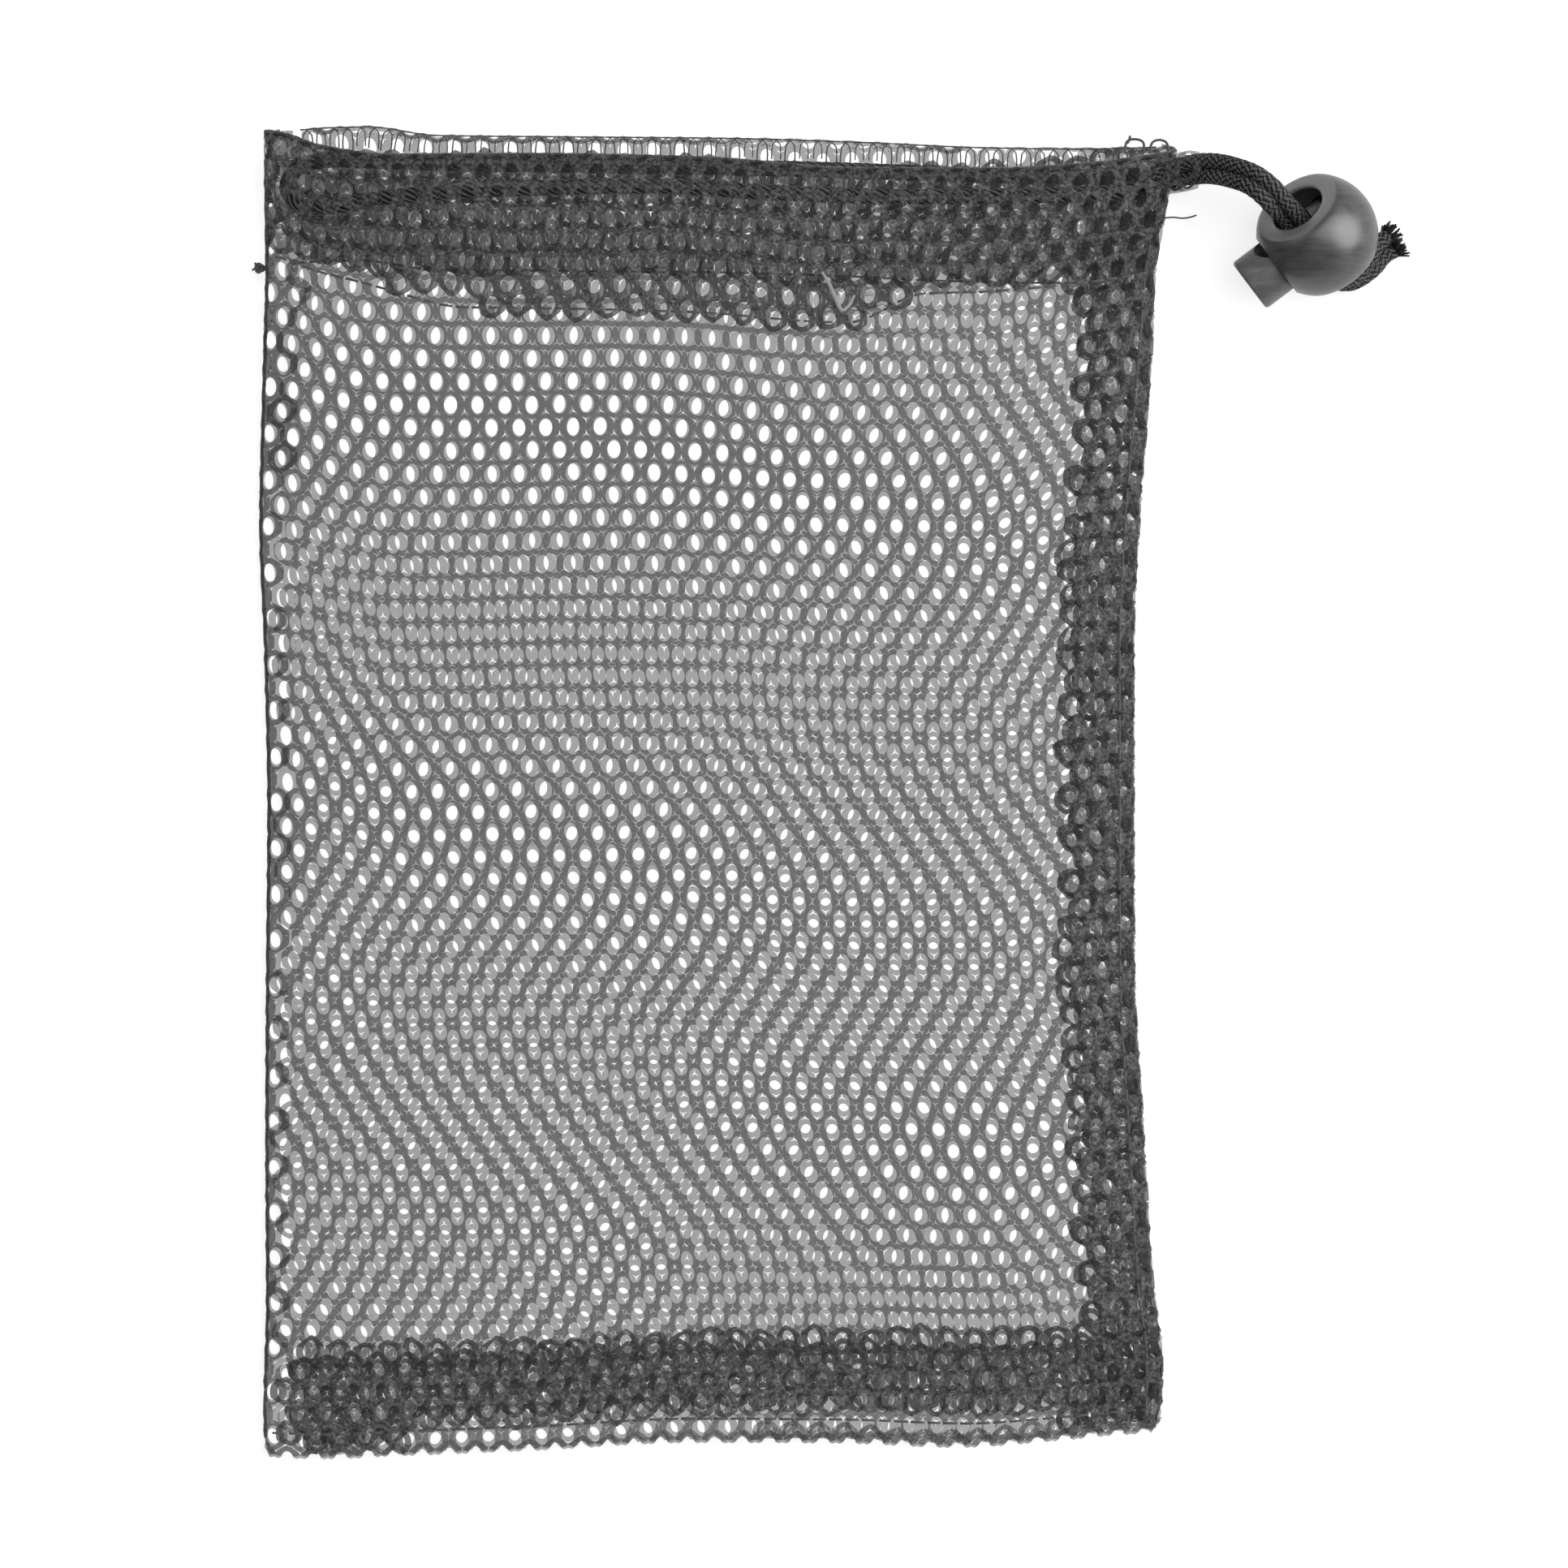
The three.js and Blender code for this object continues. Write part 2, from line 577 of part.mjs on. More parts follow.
const lock = new THREE.Group();
lock.position.copy(LOCK_CENTRE);
lock.quaternion.setFromRotationMatrix(lockFrame);
lock.add(
  piece("cord_lock_ball", lockBall(), PLASTIC, 0.45),
  piece("cord_lock_plunger", lockPlunger(), PLASTIC, 0.45),
);
bag.add(lock);

export default bag;
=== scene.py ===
"""Mesh drawstring bag with a ball cord lock, lying flat: its looks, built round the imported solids."""

import logging
import math
from dataclasses import dataclass, field
from enum import Enum
from typing import Callable, Sequence

import bpy
import numpy as np
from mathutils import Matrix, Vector


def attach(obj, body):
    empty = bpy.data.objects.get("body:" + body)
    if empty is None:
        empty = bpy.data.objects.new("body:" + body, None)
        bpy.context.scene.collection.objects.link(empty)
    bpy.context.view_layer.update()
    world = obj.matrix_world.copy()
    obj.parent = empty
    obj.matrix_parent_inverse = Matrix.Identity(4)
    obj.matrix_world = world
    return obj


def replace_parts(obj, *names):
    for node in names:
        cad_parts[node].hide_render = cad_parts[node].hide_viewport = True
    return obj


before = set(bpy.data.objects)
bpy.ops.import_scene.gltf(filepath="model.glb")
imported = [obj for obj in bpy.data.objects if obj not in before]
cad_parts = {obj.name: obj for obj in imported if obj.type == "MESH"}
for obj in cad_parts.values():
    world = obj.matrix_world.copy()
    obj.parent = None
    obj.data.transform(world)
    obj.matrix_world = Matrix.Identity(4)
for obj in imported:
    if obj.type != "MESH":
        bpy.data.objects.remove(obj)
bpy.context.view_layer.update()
LOG = logging.getLogger("mesh_bag")
MM = 0.001
Points = np.ndarray
Faces = list[tuple[int, ...]]
Material = bpy.types.Material
Node = bpy.types.Node
Piece = bpy.types.Object
Socket = bpy.types.NodeSocket
Tree = bpy.types.NodeTree


class Body(Enum):
    """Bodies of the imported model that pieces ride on."""

    BAG = "bag"
    PLUNGER = "plunger"


class Slot(Enum):
    """Material slots."""

    NET = "net"
    BRAID = "braid"
    LOCK = "lock_plastic"


class End(Enum):
    """The two free ends of the drawstring, by the channel that each one leaves."""

    FRONT = 1
    BACK = -1


# Node helpers

def add_node(tree: Tree, kind: str, **settings: object) -> Node:
    """Adds a node to a tree.

    Args:
        tree: the tree that takes the node.
        kind: the node's type name.
        settings: properties to set on it.

    Returns:
        The new node.
    """
    node = tree.nodes.new(kind)
    for name, value in settings.items():
        setattr(node, name, value)
    return node


def feed(tree: Tree, node: Node, **inputs: object) -> Node:
    """Sets or links a node's inputs by name, with a low line for each space.

    Args:
        tree: the node's tree.
        node: the node.
        inputs: a value or an output socket for each input; i0, i1 and so on go by place.

    Returns:
        The same node.
    """
    for name, value in inputs.items():
        by_place = name[0] == "i" and name[1:].isdigit()
        socket = node.inputs[int(name[1:])] if by_place else node.inputs[name.replace("_", " ")]
        if isinstance(value, Socket):
            tree.links.new(value, socket)
        else:
            socket.default_value = value
    return node


def sum_up(tree: Tree, operation: str, *terms: object) -> Socket:
    """Adds one math node.

    Args:
        tree: the tree that takes the node.
        operation: the math operation.
        terms: its inputs, numbers or output sockets.

    Returns:
        The node's output.
    """
    node = add_node(tree, "ShaderNodeMath", operation=operation)
    feed(tree, node, **{f"i{place}": term for place, term in enumerate(terms)})
    return node.outputs[0]


def grey(level: float, blue: float = 1.0) -> tuple[float, float, float, float]:
    """Gives a grey as red, green, blue and alpha, with its blue made stronger or weaker."""
    return (level, level, level * blue, 1.0)


def mix(tree: Tree, share: object, first: object, second: object) -> Socket:
    """Adds one node that mixes two colours; its sockets 6 and 7 take them, and output 2 gives the mix.

    Args:
        tree: the tree that takes the node.
        share: how much of the second colour, as an output socket.
        first: a colour or an output socket.
        second: a colour or an output socket.

    Returns:
        The mixed colour.
    """
    node = add_node(tree, "ShaderNodeMix", data_type="RGBA")
    feed(tree, node, i0=share, i6=first, i7=second)
    return node.outputs[2]


def open_group(name: str, kind: str, inputs: dict[str, str], outputs: dict[str, str]) -> tuple:
    """Starts a node group with named sockets.

    Args:
        name: the group's name.
        kind: the tree's type.
        inputs: socket type for each input name.
        outputs: socket type for each output name.

    Returns:
        The tree, the outputs of its input node by name, and its output node.
    """
    tree = bpy.data.node_groups.new(name, kind)
    for label, socket in inputs.items():
        tree.interface.new_socket(name=label, in_out="INPUT", socket_type=socket)
    for label, socket in outputs.items():
        tree.interface.new_socket(name=label, in_out="OUTPUT", socket_type=socket)
    given = add_node(tree, "NodeGroupInput").outputs
    return tree, given, add_node(tree, "NodeGroupOutput")


# Finishes

def new_material(name: str) -> tuple[Material, Tree, Node]:
    """Makes a material with nodes.

    Args:
        name: its name.

    Returns:
        The material, its tree and its shader.
    """
    made = bpy.data.materials.new(name)
    made.use_nodes = True
    return made, made.node_tree, made.node_tree.nodes["Principled BSDF"]


YARN_INPUTS = {"Twist": "NodeSocketFloat", "Fibre": "NodeSocketFloat"}
YARN_OUTPUTS = {"Height": "NodeSocketFloat", "Tint": "NodeSocketFloat"}


def filament_group() -> Tree:
    """Makes the group for the net's filament yarn: twist lines and a soft unevenness.

    Returns:
        The group.
    """
    tree, given, result = open_group("filament_surface", "ShaderNodeTree", YARN_INPUTS, YARN_OUTPUTS)
    strand = add_node(tree, "ShaderNodeUVMap", uv_map="strand")
    twist = add_node(tree, "ShaderNodeTexWave", wave_type="BANDS", bands_direction="DIAGONAL")
    feed(tree, twist, Vector=strand.outputs["UV"], Scale=given["Twist"], Distortion=0.0, Detail=0.0)
    place = add_node(tree, "ShaderNodeTexCoord")
    fibre = add_node(tree, "ShaderNodeTexNoise")
    feed(tree, fibre, Vector=place.outputs["Object"], Scale=given["Fibre"], Detail=1.0)
    tint = sum_up(tree, "MULTIPLY_ADD", twist.outputs["Fac"], 0.25, -0.95)
    tint = sum_up(tree, "MULTIPLY_ADD", fibre.outputs["Fac"], 2.4, tint)
    feed(tree, result, Height=twist.outputs["Fac"], Tint=tint)
    return tree


def yarn_group() -> Tree:
    """Makes the group that cord and thread share: twist lines on the strand and loose fibre on it.

    Returns:
        The group.
    """
    tree, given, result = open_group("yarn_surface", "ShaderNodeTree", YARN_INPUTS, YARN_OUTPUTS)
    strand = add_node(tree, "ShaderNodeUVMap", uv_map="strand")
    place = add_node(tree, "ShaderNodeTexCoord")
    twist = add_node(tree, "ShaderNodeTexWave", wave_type="BANDS", bands_direction="DIAGONAL")
    feed(tree, twist, Vector=strand.outputs["UV"], Scale=given["Twist"], Distortion=1.2, Detail=2.0)
    fibre = add_node(tree, "ShaderNodeTexNoise")
    feed(tree, fibre, Vector=place.outputs["Object"], Scale=given["Fibre"], Detail=4.0, Roughness=0.65)
    cloud = add_node(tree, "ShaderNodeTexNoise")
    feed(tree, cloud, Vector=place.outputs["Object"], Scale=95.0, Detail=3.0)
    height = sum_up(tree, "MULTIPLY_ADD", fibre.outputs["Fac"], 0.7, twist.outputs["Fac"])
    tint = sum_up(tree, "MULTIPLY_ADD", cloud.outputs["Fac"], 0.5, 0.0)
    tint = sum_up(tree, "MULTIPLY_ADD", fibre.outputs["Fac"], 0.35, tint)
    tint = sum_up(tree, "MULTIPLY_ADD", twist.outputs["Fac"], 0.25, tint)
    feed(tree, result, Height=height, Tint=tint)
    return tree


@dataclass(frozen=True)
class YarnFinish:
    """Spun or knitted yarn, dark to light by its fibre and by a piece's own shade."""

    name: str
    dark: float
    light: float
    twist: float
    fibre: float
    bump: float
    roughness: float
    sheen: float = 0.0
    cover: float = 1.0
    specular: float = 0.5
    by_shade: float = 0.6
    darker: float = 0.35
    blue: float = 1.02

    def material(self, yarn: Tree) -> Material:
        """Makes the material.

        Args:
            yarn: the group for this yarn's surface.

        Returns:
            The material.
        """
        made, tree, shader = new_material(self.name)
        surface = add_node(tree, "ShaderNodeGroup", node_tree=yarn)
        feed(tree, surface, Twist=self.twist, Fibre=self.fibre)
        shade = add_node(tree, "ShaderNodeAttribute", attribute_name="shade")
        tint = sum_up(tree, "MULTIPLY_ADD", shade.outputs["Fac"], self.by_shade, surface.outputs["Tint"])
        tint = sum_up(tree, "SUBTRACT", tint, self.darker)
        colour = mix(tree, tint, grey(self.dark, self.blue), grey(self.light, self.blue))
        bump = add_node(tree, "ShaderNodeBump")
        feed(tree, bump, Strength=self.bump, Distance=0.0002, Height=surface.outputs["Height"])
        feed(tree, shader, Base_Color=colour, Normal=bump.outputs["Normal"])
        feed(tree, shader, Roughness=self.roughness, Sheen_Weight=self.sheen, Alpha=self.cover)
        feed(tree, shader, Specular_IOR_Level=self.specular)
        return made


def moulding_group() -> Tree:
    """Makes the group for moulded plastic: a faint clouding, a fine grain and rubbed streaks.

    Returns:
        The group, with inputs Cloud and Grain and outputs Tint, Polish and Height.
    """
    sockets = {"Cloud": "NodeSocketFloat", "Grain": "NodeSocketFloat"}
    results = {"Tint": "NodeSocketFloat", "Polish": "NodeSocketFloat", "Height": "NodeSocketFloat"}
    tree, given, result = open_group("moulded_skin", "ShaderNodeTree", sockets, results)
    place = add_node(tree, "ShaderNodeTexCoord")
    cloud = add_node(tree, "ShaderNodeTexNoise")
    feed(tree, cloud, Vector=place.outputs["Object"], Scale=given["Cloud"], Detail=4.0, Distortion=0.6)
    grain = add_node(tree, "ShaderNodeTexNoise")
    feed(tree, grain, Vector=place.outputs["Object"], Scale=given["Grain"], Detail=2.0)
    stretch = add_node(tree, "ShaderNodeMapping", vector_type="POINT")
    feed(tree, stretch, Vector=place.outputs["Object"], Rotation=(0.3, 0.4, 0.6), Scale=(1.0, 7.0, 1.0))
    rub = add_node(tree, "ShaderNodeTexNoise")
    feed(tree, rub, Vector=stretch.outputs["Vector"], Scale=given["Cloud"], Detail=6.0, Roughness=0.7)
    polish = sum_up(tree, "MULTIPLY_ADD", rub.outputs["Fac"], 0.5, cloud.outputs["Fac"])
    tint = sum_up(tree, "MULTIPLY_ADD", rub.outputs["Fac"], 1.3, cloud.outputs["Fac"])
    tint = sum_up(tree, "SUBTRACT", tint, 0.55)
    feed(tree, result, Tint=tint, Polish=polish, Height=grain.outputs["Fac"])
    return tree


@dataclass(frozen=True)
class PlasticFinish:
    """Satin moulded plastic, with a painted highlight where its shade attribute is above 0 and painted shade
    where it is below 0.
    """

    name: str
    dark: float
    light: float
    smooth: float
    rough: float
    specular: float
    # Colours of the painted highlight and of the painted shade that the shade attribute mixes in.
    painted_highlight: float = 0.26
    painted_shade: float = 0.004
    cloud: float = 210.0
    grain: float = 5200.0

    def material(self, moulding: Tree) -> Material:
        """Makes the material.

        Args:
            moulding: the group for moulded plastic.

        Returns:
            The material.
        """
        made, tree, shader = new_material(self.name)
        skin = add_node(tree, "ShaderNodeGroup", node_tree=moulding)
        feed(tree, skin, Cloud=self.cloud, Grain=self.grain)
        colour = mix(tree, skin.outputs["Tint"], grey(self.dark), grey(self.light))
        shade = add_node(tree, "ShaderNodeAttribute", attribute_name="shade")
        # A shade above 0 mixes in a painted highlight, and a shade below 0 mixes in painted shade.
        colour = mix(tree, shade.outputs["Fac"], colour, grey(self.painted_highlight))
        painted_shade_share = sum_up(tree, "MULTIPLY", shade.outputs["Fac"], -1.0)
        colour = mix(tree, painted_shade_share, colour, grey(self.painted_shade))
        gloss = add_node(tree, "ShaderNodeMapRange")
        feed(tree, gloss, Value=skin.outputs["Polish"], From_Min=0.4, From_Max=1.1)
        feed(tree, gloss, To_Min=self.smooth, To_Max=self.rough)
        bump = add_node(tree, "ShaderNodeBump")
        feed(tree, bump, Strength=0.06, Distance=0.0001, Height=skin.outputs["Height"])
        feed(tree, shader, Base_Color=colour, Roughness=gloss.outputs["Result"])
        feed(tree, shader, Normal=bump.outputs["Normal"], Specular_IOR_Level=self.specular)
        return made


KNITTED_NET = YarnFinish(
    "knitted_net", dark=0.012, light=0.34, twist=1.6, fibre=1900.0, bump=0.5, roughness=0.62, cover=0.42
)
# A darker copy of the knitted net for the plies under the front: painted shade for the shadow and bounced
# light that those plies are not given.
SHADED_PLY_NET = YarnFinish(
    "doubled_net", dark=0.012, light=0.10, twist=1.6, fibre=1900.0, bump=0.5, roughness=0.62, cover=0.6
)
BRAIDED_CORD = YarnFinish(
    "braided_cord", dark=0.003, light=0.27, twist=1.6, fibre=3400.0, bump=0.6, roughness=0.7, specular=0.2
)
SEWING_THREAD = YarnFinish(
    "sewing_thread", dark=0.035, light=0.10, twist=3.0, fibre=5200.0, bump=0.4, roughness=0.55, sheen=0.2
)
PALE_THREAD = YarnFinish(
    "pale_thread", dark=0.30, light=0.52, twist=3.0, fibre=5200.0, bump=0.4, roughness=0.6, sheen=0.2
)
BALL_PLASTIC = PlasticFinish(
    "ball_plastic", dark=0.008, light=0.11, smooth=0.26, rough=0.46, specular=0.65
)
PLUNGER_PLASTIC = PlasticFinish(
    "plunger_plastic", dark=0.02, light=0.19, smooth=0.34, rough=0.5, specular=0.45
)


@dataclass(frozen=True)
class Finishes:
    """The object's materials."""

    net: Material
    doubled_net: Material
    braid: Material
    thread: Material
    pale_thread: Material
    ball: Material
    plunger: Material

    @classmethod
    def make(cls) -> "Finishes":
        """Makes every material of the object.

        Returns:
            The materials.
        """
        yarn = yarn_group()
        moulding = moulding_group()
        filament = filament_group()
        return cls(
            net=KNITTED_NET.material(filament),
            doubled_net=SHADED_PLY_NET.material(filament),
            braid=BRAIDED_CORD.material(yarn),
            thread=SEWING_THREAD.material(yarn),
            pale_thread=PALE_THREAD.material(yarn),
            ball=BALL_PLASTIC.material(moulding),
            plunger=PLUNGER_PLASTIC.material(moulding),
        )


# Mesh helpers

def placed(name: str, data: bpy.types.ID) -> Piece:
    """Makes an object and links it to the scene.

    Args:
        name: the object's name.
        data: its mesh, camera or light.

    Returns:
        The object.
    """
    made = bpy.data.objects.new(name, data)
    bpy.context.scene.collection.objects.link(made)
    return made


@dataclass
class Shape:
    """Corners and faces that are gathered into one mesh, in millimetres."""

    points: list[Points] = field(default_factory=list)
    faces: Faces = field(default_factory=list)
    strands: list[Points] = field(default_factory=list)
    shades: list[Points] = field(default_factory=list)

    def add(self, points: Points, faces: Sequence, strand: Points, shade: Points) -> None:
        """Adds corners and the faces between them.

        Args:
            points: corners, one row each.
            faces: corner numbers of each face, counted from these points.
            strand: place along and across the strand, for each corner.
            shade: how much paler each corner is, or darker where it is below 0.
        """
        first = sum(len(part) for part in self.points)
        self.points.append(np.asarray(points, float))
        self.faces.extend(tuple(int(corner) + first for corner in face) for face in faces)
        self.strands.append(np.asarray(strand, float))
        self.shades.append(np.broadcast_to(shade, (len(points),)).astype(float))

    def piece(self, name: str, material: Material) -> Piece:
        """Makes the object.

        Args:
            name: the piece's name.
            material: its material.

        Returns:
            The new object, at the origin.
        """
        mesh = bpy.data.meshes.new(name)
        mesh.from_pydata((np.concatenate(self.points) * MM).tolist(), [], self.faces)
        corners = np.empty(len(mesh.loops), int)
        mesh.loops.foreach_get("vertex_index", corners)
        layer = mesh.uv_layers.new(name="strand")
        layer.uv.foreach_set("vector", np.concatenate(self.strands)[corners].astype(np.float32).ravel())
        shade = mesh.attributes.new("shade", "FLOAT", "POINT")
        shade.data.foreach_set("value", np.concatenate(self.shades).astype(np.float32))
        mesh.materials.append(material)
        mesh.shade_smooth()
        mesh.update()
        return placed(name, mesh)


def carry(piece: Piece, body: Body) -> Piece:
    """Lets a piece ride on a body.

    Args:
        piece: the piece.
        body: the body that carries it.

    Returns:
        The same piece.
    """
    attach(piece, body.value)
    LOG.info("%s: %d faces, rides on %s", piece.name, len(piece.data.polygons), body.value)
    return piece


ROUTE_STEPS = 24


def smooth_route(stops: Sequence[Sequence[float]], step: float) -> Points:
    """Runs a centripetal curve through stops and places points on it at even steps.

    Args:
        stops: points that the curve passes through.
        step: the spacing wanted.

    Returns:
        Points along the curve.
    """
    stop = np.asarray(stops, float)
    before = 2 * stop[0] - stop[1]
    after = 2 * stop[-1] - stop[-2]
    held = np.vstack([before, stop, after])
    share = np.linspace(0.0, 1.0, ROUTE_STEPS, endpoint=False)[:, None]
    run = []
    for a, b, c, d in zip(held, held[1:], held[2:], held[3:]):
        first, middle, last = (np.sqrt(np.linalg.norm(q - p)) for p, q in ((a, b), (b, c), (c, d)))
        leave = ((b - a) / first - (c - a) / (first + middle) + (c - b) / middle) * middle
        reach = ((c - b) / middle - (d - b) / (middle + last) + (d - c) / last) * middle
        square = -3 * b + 3 * c - 2 * leave - reach
        cube = 2 * b - 2 * c + leave + reach
        run.append(b + share * (leave + share * (square + share * cube)))
    line = np.vstack(run + [stop[-1:]])
    return even_steps(line, step)


def length_along(line: Points) -> Points:
    """Length from a line's start to each of its points."""
    return np.concatenate([[0.0], np.cumsum(np.linalg.norm(np.diff(line, axis=0), axis=1))])


def even_steps(line: Points, step: float) -> Points:
    """Places points on a line of straight runs at even steps.

    Args:
        line: the line's points.
        step: the spacing wanted.

    Returns:
        The new points.
    """
    along = length_along(line)
    count = max(2, int(round(along[-1] / step)) + 1)
    wanted = np.linspace(0.0, along[-1], count)
    return np.stack([np.interp(wanted, along, line[:, axis]) for axis in range(3)], axis=1)


def add_tube(shape: Shape, line: Points, radius: object, sides: int, shade: object = 0.5) -> None:
    """Adds a closed tube along a line.

    Args:
        shape: the shape that takes it.
        line: points along its middle.
        radius: a number, or radii by point and side.
        sides: corners round it.
        shade: a number, or shades by point and side.
    """
    count = len(line)
    ahead = np.gradient(line, axis=0)
    ahead /= np.linalg.norm(ahead, axis=1)[:, None]
    side = np.empty_like(line)
    start = np.cross(ahead[0], (0.0, 0.0, 1.0))
    if np.linalg.norm(start) < 0.1:
        start = np.cross(ahead[0], (1.0, 0.0, 0.0))
    side[0] = start / np.linalg.norm(start)
    for place in range(1, count):
        moved = side[place - 1] - ahead[place] * np.dot(side[place - 1], ahead[place])
        side[place] = moved / np.linalg.norm(moved)
    third = np.cross(ahead, side)
    turn = np.linspace(0.0, 2 * math.pi, sides, endpoint=False)
    around = side[:, None] * np.cos(turn)[None, :, None] + third[:, None] * np.sin(turn)[None, :, None]
    reach = np.broadcast_to(radius, (count, sides))
    points = line[:, None] + around * reach[..., None]
    along = length_along(line)
    strand = np.stack(np.broadcast_arrays(turn[None, :] * reach.mean(), along[:, None]), axis=2)
    first = np.arange(count - 1)[:, None] * sides + np.arange(sides)[None, :]
    beside = np.arange(count - 1)[:, None] * sides + (np.arange(sides)[None, :] + 1) % sides
    quads = np.stack([first, beside, beside + sides, first + sides], axis=2).reshape(-1, 4)
    caps = [tuple(range(sides))[::-1], tuple(range((count - 1) * sides, count * sides))]
    shades = np.broadcast_to(shade, (count, sides)).reshape(-1)
    shape.add(points.reshape(-1, 3), quads.tolist() + caps, strand.reshape(-1, 2), shades)


def rise(start: float, stop: float, at: Points) -> Points:
    """Goes smoothly from 0 at start to 1 at stop."""
    share = np.clip((at - start) / (stop - start), 0.0, 1.0)
    return share * share * (3.0 - 2.0 * share)


# Form of the lying bag

@dataclass(frozen=True)
class Table:
    """Short table whose columns are read smoothly between its rows; the first column is the key."""

    names: tuple[str, ...]
    rows: tuple[tuple[float, ...], ...]

    def at(self, name: str, place: Points) -> Points:
        """Reads a column.

        Args:
            name: the column.
            place: the keys asked for.

        Returns:
            The column's value at each key.
        """
        columns = np.array(self.rows).T
        key = columns[0]
        value = columns[self.names.index(name)]
        span = np.diff(key)
        climb = np.diff(value) / span
        product = climb[:-1] * climb[1:]
        same = product > 0
        inner = np.where(same, 2 * product / np.where(same, climb[:-1] + climb[1:], 1.0), 0.0)
        slope = np.concatenate([climb[:1], inner, climb[-1:]])
        row = np.clip(np.searchsorted(key, place) - 1, 0, len(span) - 1)
        share = np.clip((place - key[row]) / span[row], 0.0, 1.0)
        low, high = value[row], value[row + 1]
        leave, reach = slope[row] * span[row], slope[row + 1] * span[row]
        cube = 2 * low - 2 * high + leave + reach
        square = 3 * high - 3 * low - 2 * leave - reach
        return low + share * (leave + share * (square + share * cube))


SIDES = Table(
    ("up", "left", "right", "edge", "crown"),
    (
        (0.0, -67.2, 64.6, 3.8, 3.8),
        (0.027, -67.5, 66.1, 3.8, 3.9),
        (0.058, -67.4, 66.1, 3.8, 4.2),
        (0.114, -67.1, 64.8, 3.8, 6.0),
        (0.239, -67.2, 63.3, 3.8, 9.4),
        (0.364, -67.1, 62.0, 3.8, 10.3),
        (0.488, -66.9, 61.9, 3.8, 10.5),
        (0.613, -67.4, 61.9, 3.8, 10.5),
        (0.707, -68.1, 62.7, 3.8, 10.7),
        (0.8, -67.7, 64.0, 4.4, 11.6),
        (0.85, -67.4, 64.6, 5.4, 12.8),
        (0.9, -67.1, 64.9, 6.8, 14.2),
        (0.95, -67.2, 66.4, 7.8, 14.9),
        (1.0, -67.3, 68.1, 8.0, 15.0),
    ),
)
ENDS = Table(
    ("across", "bottom", "front", "back"),
    (
        (0.0, -98.2, 97.6, 98.2),
        (0.03, -98.5, 97.3, 98.5),
        (0.08, -98.6, 95.2, 98.6),
        (0.16, -98.1, 93.7, 97.3),
        (0.3, -97.4, 93.7, 97.1),
        (0.48, -96.2, 93.2, 96.9),
        (0.64, -96.3, 91.6, 96.3),
        (0.78, -96.9, 91.6, 95.5),
        (0.89, -95.9, 92.6, 95.3),
        (0.96, -95.0, 94.0, 95.5),
        (1.0, -94.7, 94.6, 95.9),
    ),
)
HEM_DEPTHS = Table(
    ("across", "front", "back"),
    (
        (0.0, 18.0, 20.5),
        (0.12, 19.0, 20.5),
        (0.24, 22.5, 20.5),
        (0.65, 23.0, 20.5),
        (0.73, 18.8, 20.5),
        (1.0, 18.0, 20.5),
    ),
)
# Each fold's start and end as shares across and up, then its width and height in millimetres.
FOLDS = (
    (0.08, 0.8, 0.72, 0.64, 15.0, 0.6),
    (0.05, 0.45, 0.7, 0.32, 17.0, 0.6),
    (0.62, 0.88, 0.95, 0.74, 10.0, 0.8),
    (0.6, 0.2, 0.95, 0.08, 12.0, 0.7),
)
BAG_WIDTH = 132.0
BAG_HEIGHT = 196.0
CROWN_POWER = 5


def front_height(across: Points, up: Points) -> Points:
    """Height of the front panel's outside above the table.

    Args:
        across: share from the left edge to the right one.
        up: share from the bottom edge to the mouth.

    Returns:
        Heights in millimetres.
    """
    width = SIDES.at("right", up) - SIDES.at("left", up)
    edge, crown = SIDES.at("edge", up), SIDES.at("crown", up)
    share = np.clip((across * width - edge / 2) / (width - edge), 0.0, 1.0)
    rounded = 1.0 - np.abs(2.0 * share - 1.0) ** CROWN_POWER
    fold = np.zeros_like(width)
    for from_across, from_up, to_across, to_up, wide, high in FOLDS:
        start = np.array((from_across * BAG_WIDTH, from_up * BAG_HEIGHT))
        run = np.array((to_across * BAG_WIDTH, to_up * BAG_HEIGHT)) - start
        east, north = across * BAG_WIDTH - start[0], up * BAG_HEIGHT - start[1]
        along = np.clip((east * run[0] + north * run[1]) / (run @ run), 0.0, 1.0)
        off = np.hypot(east - along * run[0], north - along * run[1])
        fold = fold + high * np.exp(-((off / wide) ** 2))
    return edge + (crown - edge) * rounded + fold * rounded * np.sin(math.pi * up)


# Knitted net

# Each of a cell's six sides has two ends of a link and one corner.
CELL_CORNERS = 18


